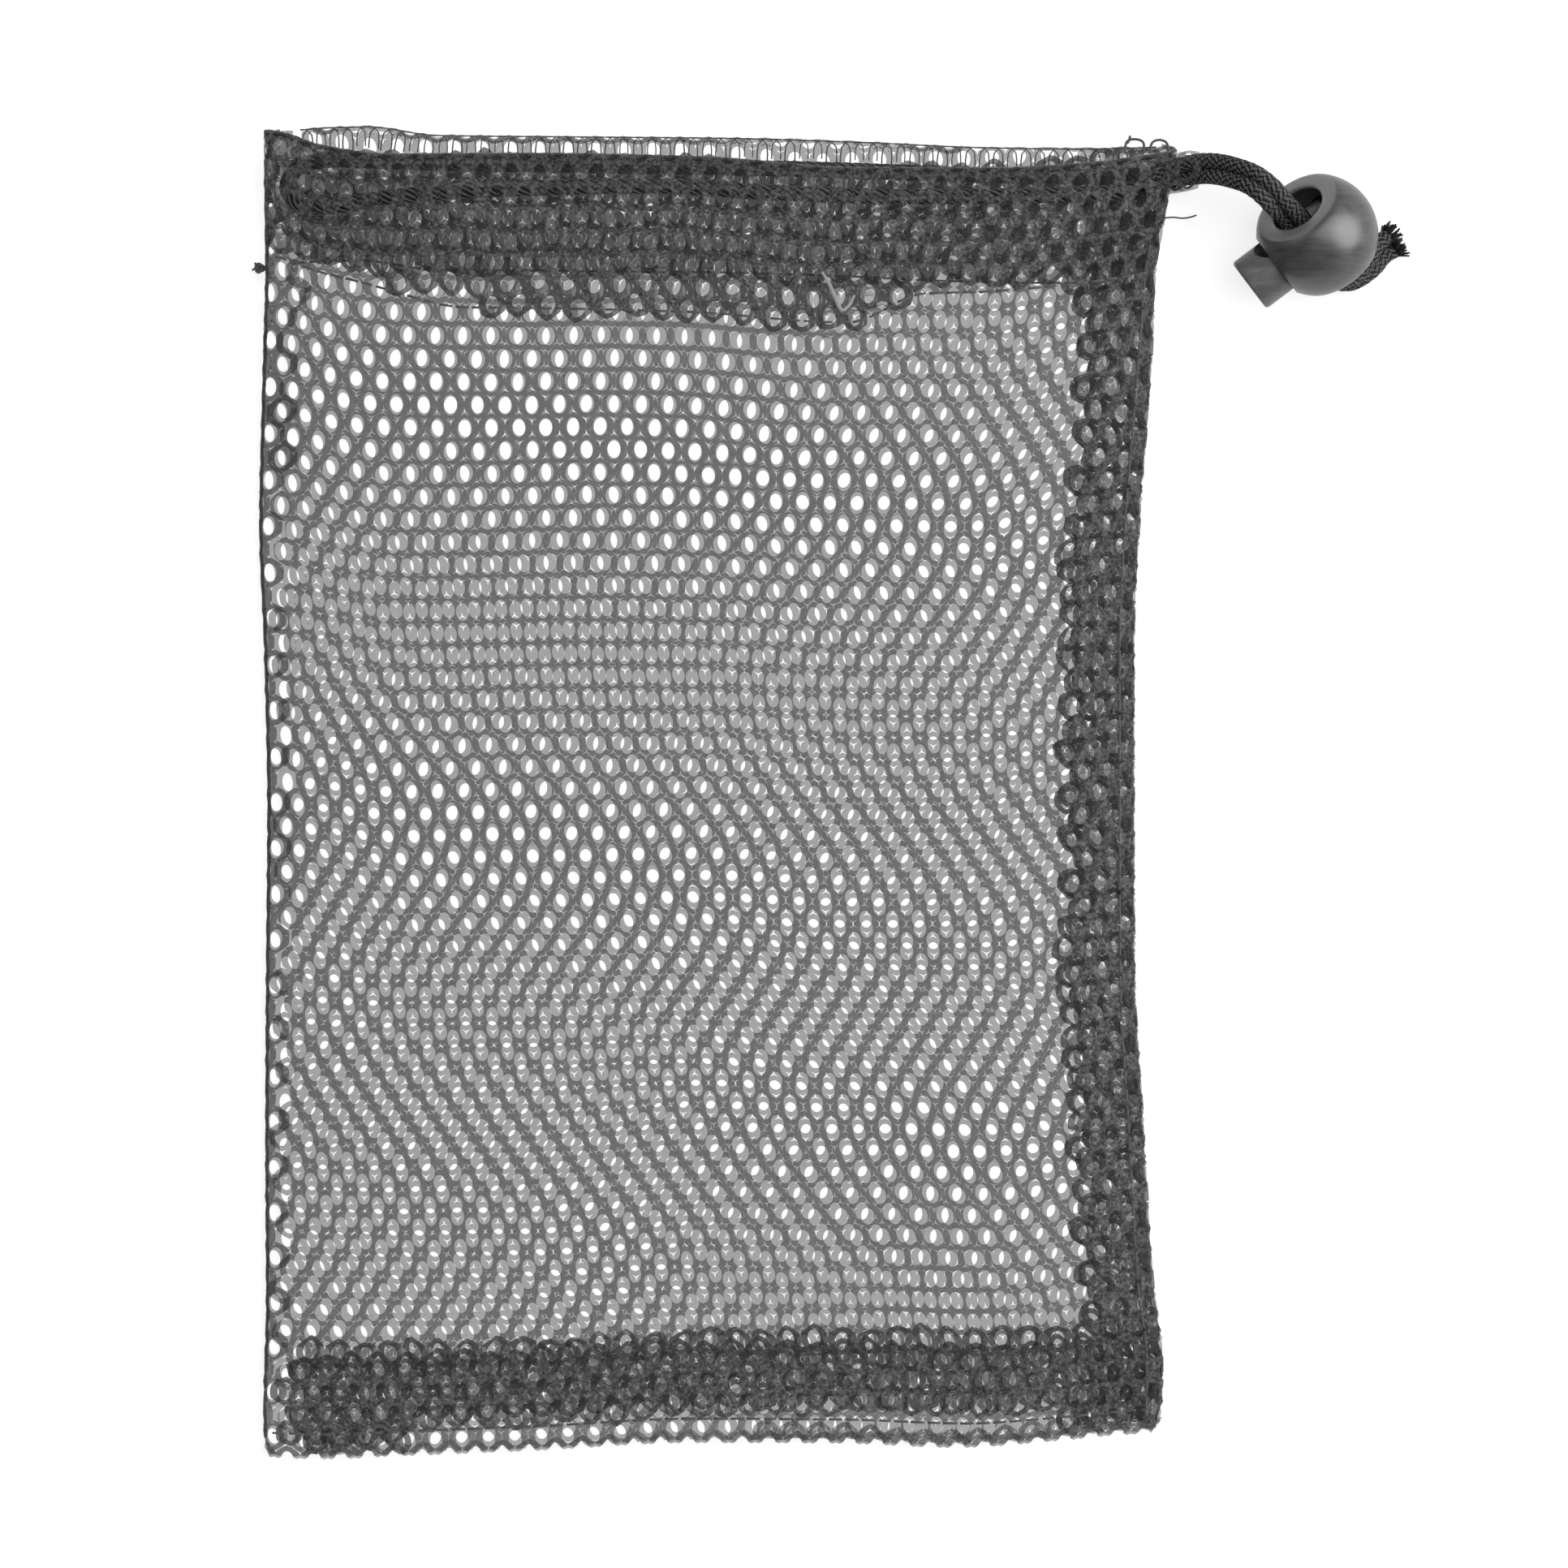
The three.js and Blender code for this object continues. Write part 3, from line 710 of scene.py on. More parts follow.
@dataclass(frozen=True)
class NetCell:
    """One hole of the net with its ring of yarn, linked to six others, in millimetres."""

    ridged: bool
    across: float = 4.056
    up: float = 3.288
    pillar: float = 2.0
    hole_wide: float = 1.95
    hole_high: float = 2.65
    link: float = 0.36
    gap: float = 0.13
    crest: float = 0.30
    crest_share: float = 0.42
    valley: float = 0.13
    hole_level: float = 0.02
    under: float = 0.26

    @property
    def faces(self) -> int:
        """Number of faces in one cell."""
        return (3 if self.ridged else 2) * CELL_CORNERS

    @property
    def points(self) -> int:
        """Number of points in one cell."""
        return self.faces + CELL_CORNERS

    def object(self, name: str) -> Piece:
        """Makes the cell that the lattice repeats.

        Args:
            name: the object's name.

        Returns:
            An object that isn't linked to the scene.
        """
        half, shoulder = self.across / 2, self.pillar / 2
        tip = self.up - shoulder
        corner = np.array((half, shoulder))
        slope = np.array((-half, tip - shoulder)) / math.hypot(half, tip - shoulder)
        middle = (corner + (0.0, tip)) / 2
        quarter = [np.array((half, self.link)), corner * (1 - self.gap / np.linalg.norm(corner))]
        quarter += [middle - self.link * slope, middle + self.link * slope]
        mirrored = [point * (-1, 1) for point in quarter[::-1]]
        upper = np.array(quarter + [np.array((0.0, tip - self.gap))] + mirrored)
        rim = np.concatenate([upper, -upper])
        turn = np.radians((np.arange(CELL_CORNERS) + 0.5) * 360 / CELL_CORNERS)
        hole = np.stack([np.cos(turn) * self.hole_wide / 2, np.sin(turn) * self.hole_high / 2], axis=1)
        ridge = hole + (rim - hole) * self.crest_share
        levels = [(hole, self.hole_level), (rim, -self.under)]
        if self.ridged:
            levels = [(rim, self.valley), (ridge, self.crest)] + levels
        else:
            levels = [(rim, self.crest)] + levels
        rings = [np.column_stack([ring, np.full(CELL_CORNERS, level)]) for ring, level in levels]
        faces = []
        for first in range(0, self.faces, CELL_CORNERS):
            second = first + CELL_CORNERS
            for side in range(CELL_CORNERS):
                beside = (side + 1) % CELL_CORNERS
                faces.append((first + side, first + beside, second + beside, second + side))
        mesh = bpy.data.meshes.new(name)
        mesh.from_pydata(np.concatenate(rings).tolist(), [], faces)
        return bpy.data.objects.new(name, mesh)


def lattice_group() -> Tree:
    """Makes the nodes that repeat a cell on staggered rows.

    Returns:
        The tree, with inputs for the cell, the counts, the first cell, the pitches, a seed and the material.
    """
    inputs = {
        "Geometry": "NodeSocketGeometry",
        "Cell": "NodeSocketObject",
        "Columns": "NodeSocketInt",
        "Rows": "NodeSocketInt",
        "First Column": "NodeSocketInt",
        "First Row": "NodeSocketInt",
        "Across": "NodeSocketFloat",
        "Up": "NodeSocketFloat",
        "Seed": "NodeSocketInt",
        "Material": "NodeSocketMaterial",
    }
    outputs = {"Geometry": "NodeSocketGeometry"}
    tree, given, result = open_group("net_lattice", "GeometryNodeTree", inputs, outputs)
    count = sum_up(tree, "MULTIPLY", given["Columns"], given["Rows"])
    number = add_node(tree, "GeometryNodeInputIndex").outputs[0]
    lines = sum_up(tree, "DIVIDE", sum_up(tree, "ADD", number, 0.5), given["Columns"])
    lines = sum_up(tree, "FLOOR", lines)
    column = sum_up(tree, "SUBTRACT", number, sum_up(tree, "MULTIPLY", lines, given["Columns"]))
    column = sum_up(tree, "ADD", column, given["First Column"])
    row = sum_up(tree, "ADD", lines, given["First Row"])
    odd = sum_up(tree, "FLOORED_MODULO", row, 2.0)
    column = sum_up(tree, "MULTIPLY_ADD", odd, 0.5, column)
    place = add_node(tree, "ShaderNodeCombineXYZ")
    feed(tree, place, X=sum_up(tree, "MULTIPLY", column, given["Across"]))
    feed(tree, place, Y=sum_up(tree, "MULTIPLY", row, given["Up"]))
    spots = add_node(tree, "GeometryNodePoints")
    feed(tree, spots, Count=count, Position=place.outputs[0])
    cell = add_node(tree, "GeometryNodeObjectInfo")
    feed(tree, cell, Object=given["Cell"])
    repeat = add_node(tree, "GeometryNodeInstanceOnPoints")
    feed(tree, repeat, Points=spots.outputs[0], Instance=cell.outputs["Geometry"])
    chance = add_node(tree, "FunctionNodeRandomValue", data_type="FLOAT")
    feed(tree, chance, Seed=given["Seed"])
    shade = add_node(tree, "GeometryNodeStoreNamedAttribute", data_type="FLOAT", domain="INSTANCE")
    feed(tree, shade, Geometry=repeat.outputs[0], Name="shade", Value=chance.outputs["Value"])
    whole = add_node(tree, "GeometryNodeRealizeInstances")
    feed(tree, whole, Geometry=shade.outputs[0])
    finish = add_node(tree, "GeometryNodeSetMaterial")
    feed(tree, finish, Geometry=whole.outputs[0], Material=given["Material"])
    feed(tree, result, Geometry=finish.outputs[0])
    return tree


def grown_mesh(tree: Tree, line: Sequence = (), **inputs: object) -> bpy.types.Mesh:
    """Runs a tree of geometry nodes on an object that holds one line, or nothing.

    Args:
        tree: the tree.
        line: points of the line that the nodes start from.
        inputs: values by input name, with a low line for each space.

    Returns:
        A plain mesh, with no modifier left.
    """
    start = bpy.data.meshes.new("growing")
    points = [tuple(map(float, point)) for point in line]
    start.from_pydata(points, [(place, place + 1) for place in range(len(points) - 1)], [])
    seed = placed("growing", start)
    grow = seed.modifiers.new("grow", "NODES")
    grow.node_group = tree
    for item in tree.interface.items_tree:
        name = item.name.replace(" ", "_")
        if item.in_out == "INPUT" and name in inputs:
            grow[item.identifier] = inputs[name]
    graph = bpy.context.evaluated_depsgraph_get()
    mesh = bpy.data.meshes.new_from_object(seed.evaluated_get(graph))
    seed.modifiers.clear()
    bpy.data.objects.remove(seed)
    return mesh


Place = Callable[[Points, Points], Points]
Keep = Callable[[Points, Points], Points]


@dataclass(frozen=True)
class Wave:
    """One wave of the net's uneven lie: its reach in millimetres and its turns in radians for each one."""

    reach: float
    across: float
    up: float

    def at(self, across: Points, up: Points) -> Points:
        """How far it moves the net at each flat place."""
        return self.reach * np.sin(self.across * across + self.up * up)


WAVES_ACROSS = (Wave(0.10, across=0.07, up=0.21), Wave(0.05, across=0.9, up=0.31))
WAVES_UP = (Wave(0.10, across=0.17, up=-0.05), Wave(0.06, across=0.41, up=0.53))
PLY_WAVES_ACROSS = (Wave(0.4, across=0.23, up=0.5),)
PLY_WAVES_UP = (Wave(0.35, across=0.41, up=-0.2), Wave(0.2, across=1.3, up=0.0))
TABLE_GAP = 0.02


@dataclass
class Knitter:
    """Makes pieces of net: a flat lattice from the nodes, closed round its edges and laid on a surface."""

    tree: Tree
    material: Material
    shaded_ply: Material
    seed: int = 11
    weld: float = 0.004
    shade_spread: float = 0.25
    shade_least: float = -0.2

    def add(
        self,
        shape: Shape,
        cell: NetCell,
        place: Place,
        columns: range,
        rows: range,
        keep: Keep,
        paler: Keep | None = None,
    ) -> None:
        """Adds one ply of net.

        Args:
            shape: the shape that takes it.
            cell: the net's cell.
            place: gives a point on the ply's middle surface for flat places across and up.
            columns: the lattice's columns.
            rows: the lattice's rows.
            keep: says which cells belong, by their flat places.
            paler: says how much paler the yarn is, by flat places.
        """
        self.seed += 1
        unit = cell.object("net_cell")
        flat = grown_mesh(
            self.tree,
            Cell=unit,
            Columns=len(columns),
            Rows=len(rows),
            First_Column=columns.start,
            First_Row=rows.start,
            Across=cell.across,
            Up=cell.up,
            Seed=self.seed,
            Material=self.material,
        )
        points = np.empty(len(flat.vertices) * 3)
        flat.vertices.foreach_get("co", points)
        points = points.reshape(-1, 3)
        corners = np.empty(len(flat.loops), int)
        flat.loops.foreach_get("vertex_index", corners)
        shade = np.empty(len(points), np.float32)
        flat.attributes["shade"].data.foreach_get("value", shade)
        quads = corners.reshape(-1, 4)
        bpy.data.objects.remove(unit)
        bpy.data.meshes.remove(flat)
        middle = points.reshape(-1, cell.points, 3).mean(axis=1)
        wanted = keep(middle[:, 0], middle[:, 1])
        quads = quads.reshape(-1, cell.faces, 4)[wanted].reshape(-1, 4)
        # Corners on the same spot of the weld grid share one whole number and become one corner.
        grid = np.round(points / self.weld).astype(np.int64)
        code = (grid[:, 0] * 2**22 + grid[:, 1]) * 2**10 + grid[:, 2]
        used = np.unique(quads)
        _, first, group = np.unique(code[used], return_index=True, return_inverse=True)
        renumber = np.zeros(len(points), int)
        renumber[used] = group
        points = points[used][first]
        shade = self.shade_spread * shade[used][first] + self.shade_least
        if paler:
            shade = shade + paler(points[:, 0], points[:, 1])
        quads = renumber[quads]
        quads = np.concatenate([quads, self._walls(points, quads)])
        shape.add(self._lay(points, place), quads.tolist(), points[:, :2], shade)

    def _walls(self, points: Points, quads: Points) -> Points:
        """Makes the faces that close the net between its upper and lower open edges.

        Args:
            points: flat corners.
            quads: the faces so far.

        Returns:
            The closing faces.
        """
        starts = quads.reshape(-1)
        stops = np.roll(quads, -1, axis=1).reshape(-1)
        count = len(points)
        ahead = starts * count + stops
        back = stops * count + starts
        open_edge = ~np.isin(ahead, back)
        starts, stops = starts[open_edge], stops[open_edge]
        above = (points[starts, 2] > 0) & (points[stops, 2] > 0)
        starts, stops = starts[above], stops[above]
        plan = np.round(points[:, :2] / self.weld).astype(np.int64)
        below = {tuple(plan[number]): number for number in np.flatnonzero(points[:, 2] < 0)}
        under = np.array([below[tuple(plan[number])] for number in starts])
        beyond = np.array([below[tuple(plan[number])] for number in stops])
        return np.stack([stops, starts, under, beyond], axis=1)

    @staticmethod
    def _lay(points: Points, place: Place) -> Points:
        """Lays flat corners on a surface, each as far off it as it stands above the flat.

        Args:
            points: flat corners.
            place: the surface.

        Returns:
            Corners in the bag's frame.
        """
        flat_across, flat_up, off = points.T
        across = flat_across
        for wave in WAVES_ACROSS:
            across = across + wave.at(flat_across, flat_up)
        up = flat_up
        for wave in WAVES_UP:
            up = up + wave.at(across, flat_up)
        step = 0.05
        middle = place(across, up)
        east = place(across + step, up) - place(across - step, up)
        north = place(across, up + step) - place(across, up - step)
        outward = np.cross(east, north)
        outward /= np.maximum(np.linalg.norm(outward, axis=1), 1e-9)[:, None]
        laid = middle + outward * off[:, None]
        laid[:, 2] = np.maximum(laid[:, 2], TABLE_GAP)
        return laid


FRONT_CELL = NetCell(ridged=True)
PLAIN_CELL = NetCell(ridged=False)
HALF_NET = 0.31
BOTTOM_EDGE = -97.0


@dataclass(frozen=True)
class Hem:
    """A panel's turn at the mouth, and the inner ply with the channel for the cord, in millimetres."""

    panel: str
    closed: float
    out: float = 1.2
    channel: float = 2.0
    channel_depth: float = 13.0

    @property
    def turn(self) -> float:
        """Length of the turn."""
        return math.pi * math.sqrt((self.out**2 + self.channel**2) / 2)

    def depth(self, across: Points) -> Points:
        """Depth of the hem at each share across."""
        return HEM_DEPTHS.at(self.panel, across)

    def fold(self, past: Points, across: Points) -> tuple[Points, Points]:
        """Folds the net that runs past the start of the turn.

        Args:
            past: flat run past that start.
            across: share from the left edge to the right one.

        Returns:
            How far up each place lies from that start, and how far off the panel it stands.
        """
        past = np.maximum(past, 0.0)
        tuck = np.minimum(math.pi * past / self.turn, math.pi)
        inward = np.maximum(past - self.turn, 0.0)
        ends = rise(-0.01, 0.11, across) * rise(-0.01, 0.09, 1 - across)
        reach = self.channel * (0.25 + 0.75 * ends)
        closing = rise(self.channel_depth, self.depth(across), inward + self.out)
        stand = 2 * reach * (1 - closing) + self.closed * closing
        off = np.where(inward > 0, stand, reach * (1 - np.cos(tuck)))
        return self.out * np.sin(tuck) - inward, off


@dataclass
class FrontSheet:
    """The front of the net: panel, left fold, right and bottom turns, mouth turn and inner hem."""

    hem: Hem = Hem("front", closed=0.75)
    reach: float = 136.0
    height: float = 189.0
    span: float = 190.0
    bottom_turn: float = 0.75
    side_turn: float = 0.35
    edge_run: float = 5.8
    drawn_down: float = 0.03
    lowest: float = 0.34
    plan_inset: float = 0.06
    plan_past: float = 0.95
    sections: int = 121
    stations: int = 361
    nose_points: int = 16
    crown_points: int = 260

    def __post_init__(self) -> None:
        """Measures the sections from the left edge over the front to the right edge."""
        ups = np.linspace(0.0, 1.0, self.sections)
        share = np.linspace(0.0, 1.0, self.stations)
        self.section_x = np.empty((self.sections, self.stations))
        self.section_z = np.empty_like(self.section_x)
        for row, up in enumerate(ups):
            left, right = SIDES.at("left", up), SIDES.at("right", up)
            nose = SIDES.at("edge", up) / 2
            radius = nose - HALF_NET
            turn = np.linspace(math.pi, math.pi / 2, self.nose_points, endpoint=False)
            middle = np.linspace(left + nose, right - nose, self.crown_points)
            high = front_height((middle - left) / (right - left), np.full_like(middle, up)) - HALF_NET
            last = np.linspace(math.pi / 2, 0.0, self.nose_points + 1)[1:]
            x = np.concatenate([
                left + nose + radius * np.cos(turn),
                middle,
                right - nose + radius * np.cos(last),
            ])
            z = np.concatenate([nose + radius * np.sin(turn), high, nose + radius * np.sin(last)])
            along = np.concatenate([[0.0], np.cumsum(np.hypot(np.diff(x), np.diff(z)))])
            self.section_x[row] = np.interp(share * along[-1], along, x)
            self.section_z[row] = np.interp(share * along[-1], along, z)

    def hem_edge(self, across: Points) -> Points:
        """Flat distance from the bottom edge to the hem's sewn edge."""
        return self.height + self.hem.out - self.hem.depth(across / self.reach)

    def _section(self, across: Points, up: Points) -> tuple[Points, Points]:
        """Reads the sections between their rows and stations.

        Args:
            across: share of the section's length.
            up: share of the bag's height.

        Returns:
            Places across and heights.
        """
        row = np.clip(up, 0.0, 1.0) * (self.sections - 1)
        station = np.clip(across, 0.0, 1.0) * (self.stations - 1)
        low = np.minimum(row.astype(int), self.sections - 2)
        first = np.minimum(station.astype(int), self.stations - 2)
        over, beyond = row - low, station - first
        read = []
        for table in (self.section_x, self.section_z):
            near = table[low, first] * (1 - beyond) + table[low, first + 1] * beyond
            far = table[low + 1, first] * (1 - beyond) + table[low + 1, first + 1] * beyond
            read.append(near * (1 - over) + far * over)
        return read[0], read[1]

    def plan(self, across: Points, up: Points) -> tuple[Points, Points]:
        """Gives the panel's places seen from above, carried on straight past its edges.

        Args:
            across: flat distance from the left edge.
            up: flat distance from the bottom edge.

        Returns:
            Places across and up in the bag's frame.
        """
        share = across / self.reach
        inside = np.clip(share, self.plan_inset, 1 - self.plan_inset)
        quarter = self.bottom_turn * math.pi / 2
        climb = (up - quarter) / (self.height - quarter)
        climb = climb - self.drawn_down * climb * (1 - climb)
        base = ENDS.at("bottom", inside) + self.bottom_turn
        mouth = ENDS.at("front", inside)
        y = base + (mouth - self.hem.out - base) * climb
        x, _ = self._section(inside, (y - base) / (mouth - base))
        return x + (share - inside) * self.reach * self.plan_past, y

    def place(self, across: Points, up: Points) -> Points:
        """Gives points on the sheet's middle surface.

        Args:
            across: flat distance from the left edge.
            up: flat distance from the bottom edge.

        Returns:
            Points in the bag's frame, in millimetres.
        """
        share = across / self.reach
        inside = np.clip(share, 0.0, 1.0)
        from_edge = np.clip(np.minimum(across, self.reach - across) / self.edge_run, -1.0, 1.0)
        layer = 0.5 + 0.5 * np.sin(from_edge * math.pi / 2)
        bottom = ENDS.at("bottom", inside)
        mouth = ENDS.at("back", inside) * (1 - layer) + ENDS.at("front", inside) * layer
        quarter = self.bottom_turn * math.pi / 2
        climb = np.clip((up - quarter) / (self.height - quarter), 0.0, 1.0)
        climb = climb - self.drawn_down * climb * (1 - climb)
        base = bottom + self.bottom_turn
        ahead, hang = self.hem.fold(up - self.height, inside)
        y = base + (mouth - self.hem.out - base) * climb + ahead
        below = np.maximum(quarter - up, 0.0)
        under = np.minimum(below / self.bottom_turn, math.pi)
        y = y - self.bottom_turn * np.sin(under) + np.maximum(below - math.pi * self.bottom_turn, 0.0)
        drop = self.bottom_turn * (1 - np.cos(under)) + hang
        up_share = (y - bottom) / (mouth - bottom)
        x, z = self._section(inside, up_share)
        x, z = self._edges(across, np.clip(up_share, 0.0, 1.0), x, z)
        return np.stack([x, y, np.maximum(z - drop, self.lowest)], axis=1)

    def hem_ply(self, across: Points, up: Points) -> Points:
        """Surface of the hem's inner ply, under the panel's own places."""
        return self.place(across, 2 * self.height + self.hem.turn - up)

    def bottom_ply(self, across: Points, up: Points) -> Points:
        """Surface of the bottom allowance, under the panel's own places."""
        return self.place(across, -up)

    def side_ply(self, across: Points, up: Points) -> Points:
        """Surface of the side allowance, under the panel's own places."""
        return self.place(2 * self.reach - 2 * self.side_turn - across, up)

    def top(self, x: Points, y: Points, over: float) -> Points:
        """Gives points over the panel's outside.

        Args:
            x: places across in the bag's frame.
            y: places up in it.
            over: height over the outside.

        Returns:
            Points in millimetres.
        """
        share = np.clip((y - BOTTOM_EDGE) / self.span, 0.0, 1.0)
        left, right = SIDES.at("left", share), SIDES.at("right", share)
        across = np.clip((x - left) / (right - left), 0.0, 1.0)
        bottom, mouth = ENDS.at("bottom", across), ENDS.at("front", across)
        high = front_height(across, np.clip((y - bottom) / (mouth - bottom), 0.0, 1.0))
        return np.stack([x, y, high + over], axis=1)

    def _edges(self, across: Points, up: Points, x: Points, z: Points) -> tuple[Points, Points]:
        """Carries the sheet round the left fold and in at the right turn.

        Args:
            across: flat distance from the left edge.
            up: share of the bag's height.
            x: places across, as the section gives them.
            z: heights, as the section gives them.

        Returns:
            The places and heights with both edges.
        """
        nose = SIDES.at("edge", up) / 2
        radius = nose - HALF_NET
        round_left = np.maximum(-across, 0.0)
        turn = math.pi + np.minimum(round_left / radius, math.pi / 2)
        flat = np.maximum(round_left - radius * math.pi / 2, 0.0)
        left_x = SIDES.at("left", up) + nose + radius * np.cos(turn) + flat
        left_z = nose + radius * np.sin(turn)
        x, z = np.where(across < 0, left_x, x), np.where(across < 0, left_z, z)
        run = np.maximum(across - self.reach, 0.0)
        tuck = np.minimum(run / self.side_turn, math.pi / 2)
        inward = np.maximum(run - self.side_turn * math.pi / 2, 0.0)
        x = x - self.side_turn * (1 - np.cos(tuck)) - inward
        z = z - self.side_turn * np.sin(tuck)
        return x, z


@dataclass
class BackSheet:
    """The back of the net: panel on the table, right and bottom turns, mouth turn and inner hem."""

    front: FrontSheet
    hem: Hem = Hem("back", closed=0.72)
    span: float = 193.6
    turn: float = 0.32
    start: float = 0.9
    stop: float = 0.6
    bottom_inset: float = 0.3
    half_wide: float = 60.0
    half_high: float = 90.0
    column: float = 3.95
    row: float = 3.28

    def flat(self, across: Points, up: Points) -> tuple[Points, Points]:
        """Lays the cells out flat, shifted against the front's as the two cloths are drawn unevenly.

        Args:
            across: lattice distance from the left edge.
            up: lattice distance from the bottom edge.

        Returns:
            Places across and up before the turns, in the bag's frame.
        """
        x, y = self.front.plan(across, up)
        east, north = x / self.half_wide, y / self.half_high
        # The shift in cells depends on where a cell ends up, so it is worked out again from there.
        for _ in range(3):
            columns = 0.73 - 0.1 * east - 1.45 * north + 0.07 * east * north + 0.1 * north**2
            rows = -0.22 - 0.17 * east + 0.17 * north - 0.24 * east**2 - 0.31 * north**2
            east = (x + self.column * columns) / self.half_wide
            north = (y - self.row * rows) / self.half_high
        return self.half_wide * east, self.half_high * north

    def edges(self, x: Points, y: Points) -> tuple[Points, Points, Points, Points, Points]:
        """Finds the panel's edges beside flat places.

        Args:
            x: flat places across.
            y: flat places up.

        Returns:
            Share across, and the left, right, bottom and mouth edges.
        """
        share = np.clip((y - BOTTOM_EDGE) / self.span, 0.0, 1.0)
        left = SIDES.at("left", share) + SIDES.at("edge", share) / 2 + self.start
        right = SIDES.at("right", share) - self.stop
        inside = np.clip((x - left) / (right - left), 0.0, 1.0)
        bottom = ENDS.at("bottom", inside) + self.bottom_inset + self.turn
        return inside, left, right, bottom, ENDS.at("back", inside) - self.hem.out

    def place(self, across: Points, up: Points) -> Points:
        """Points on the sheet's middle surface, by lattice distances from the left and bottom edges."""
        return self.bend(*self.flat(across, up))

    def hem_ply(self, across: Points, up: Points) -> Points:
        """Surface of the hem's inner ply, under the panel's own places.

        Args:
            across, up: places in the lattice.

        Returns:
            Their points.
        """
        x, y = self.flat(across, up)
        mouth = self.edges(x, y)[4]
        return self.bend(x, 2 * mouth + self.hem.turn - y)

    def bottom_ply(self, across: Points, up: Points) -> Points:
        """Surface of the bottom allowance, over the panel's own places.

        Args:
            across, up: places in the lattice.

        Returns:
            Their points.
        """
        x, y = self.flat(across, up)
        bottom = self.edges(x, y)[3]
        return self.bend(x, 2 * bottom - math.pi * self.turn - y)

    def side_ply(self, across: Points, up: Points) -> Points:
        """Surface of the side allowance, over the panel's own places.

        Args:
            across, up: places in the lattice.

        Returns:
            Their points.
        """
        x, y = self.flat(across, up)
        right = self.edges(x, y)[2]
        return self.bend(2 * right + math.pi * self.turn - x, y)

    def bend(self, x: Points, y: Points) -> Points:
        """Bends flat places round the panel's edges.

        Args:
            x: flat places across.
            y: flat places up.

        Returns:
            Points in the bag's frame, in millimetres.
        """
        inside, _, right, bottom, mouth = self.edges(x, y)
        below = np.maximum(bottom - y, 0.0)
        under = np.minimum(below / self.turn, math.pi)
        ahead, stand = self.hem.fold(y - mouth, inside)
        y = np.clip(y, bottom, mouth) + ahead
        y = y - self.turn * np.sin(under) + np.maximum(below - math.pi * self.turn, 0.0)
        lift = self.turn * (1 - np.cos(under)) + stand
        run = np.maximum(x - right, 0.0)
        turned = np.minimum(run / self.turn, math.pi)
        x = np.minimum(x, right) + self.turn * np.sin(turned) - np.maximum(run - math.pi * self.turn, 0.0)
        lift = lift + self.turn * (1 - np.cos(turned))
        return np.stack([x, y, HALF_NET + TABLE_GAP + lift], axis=1)


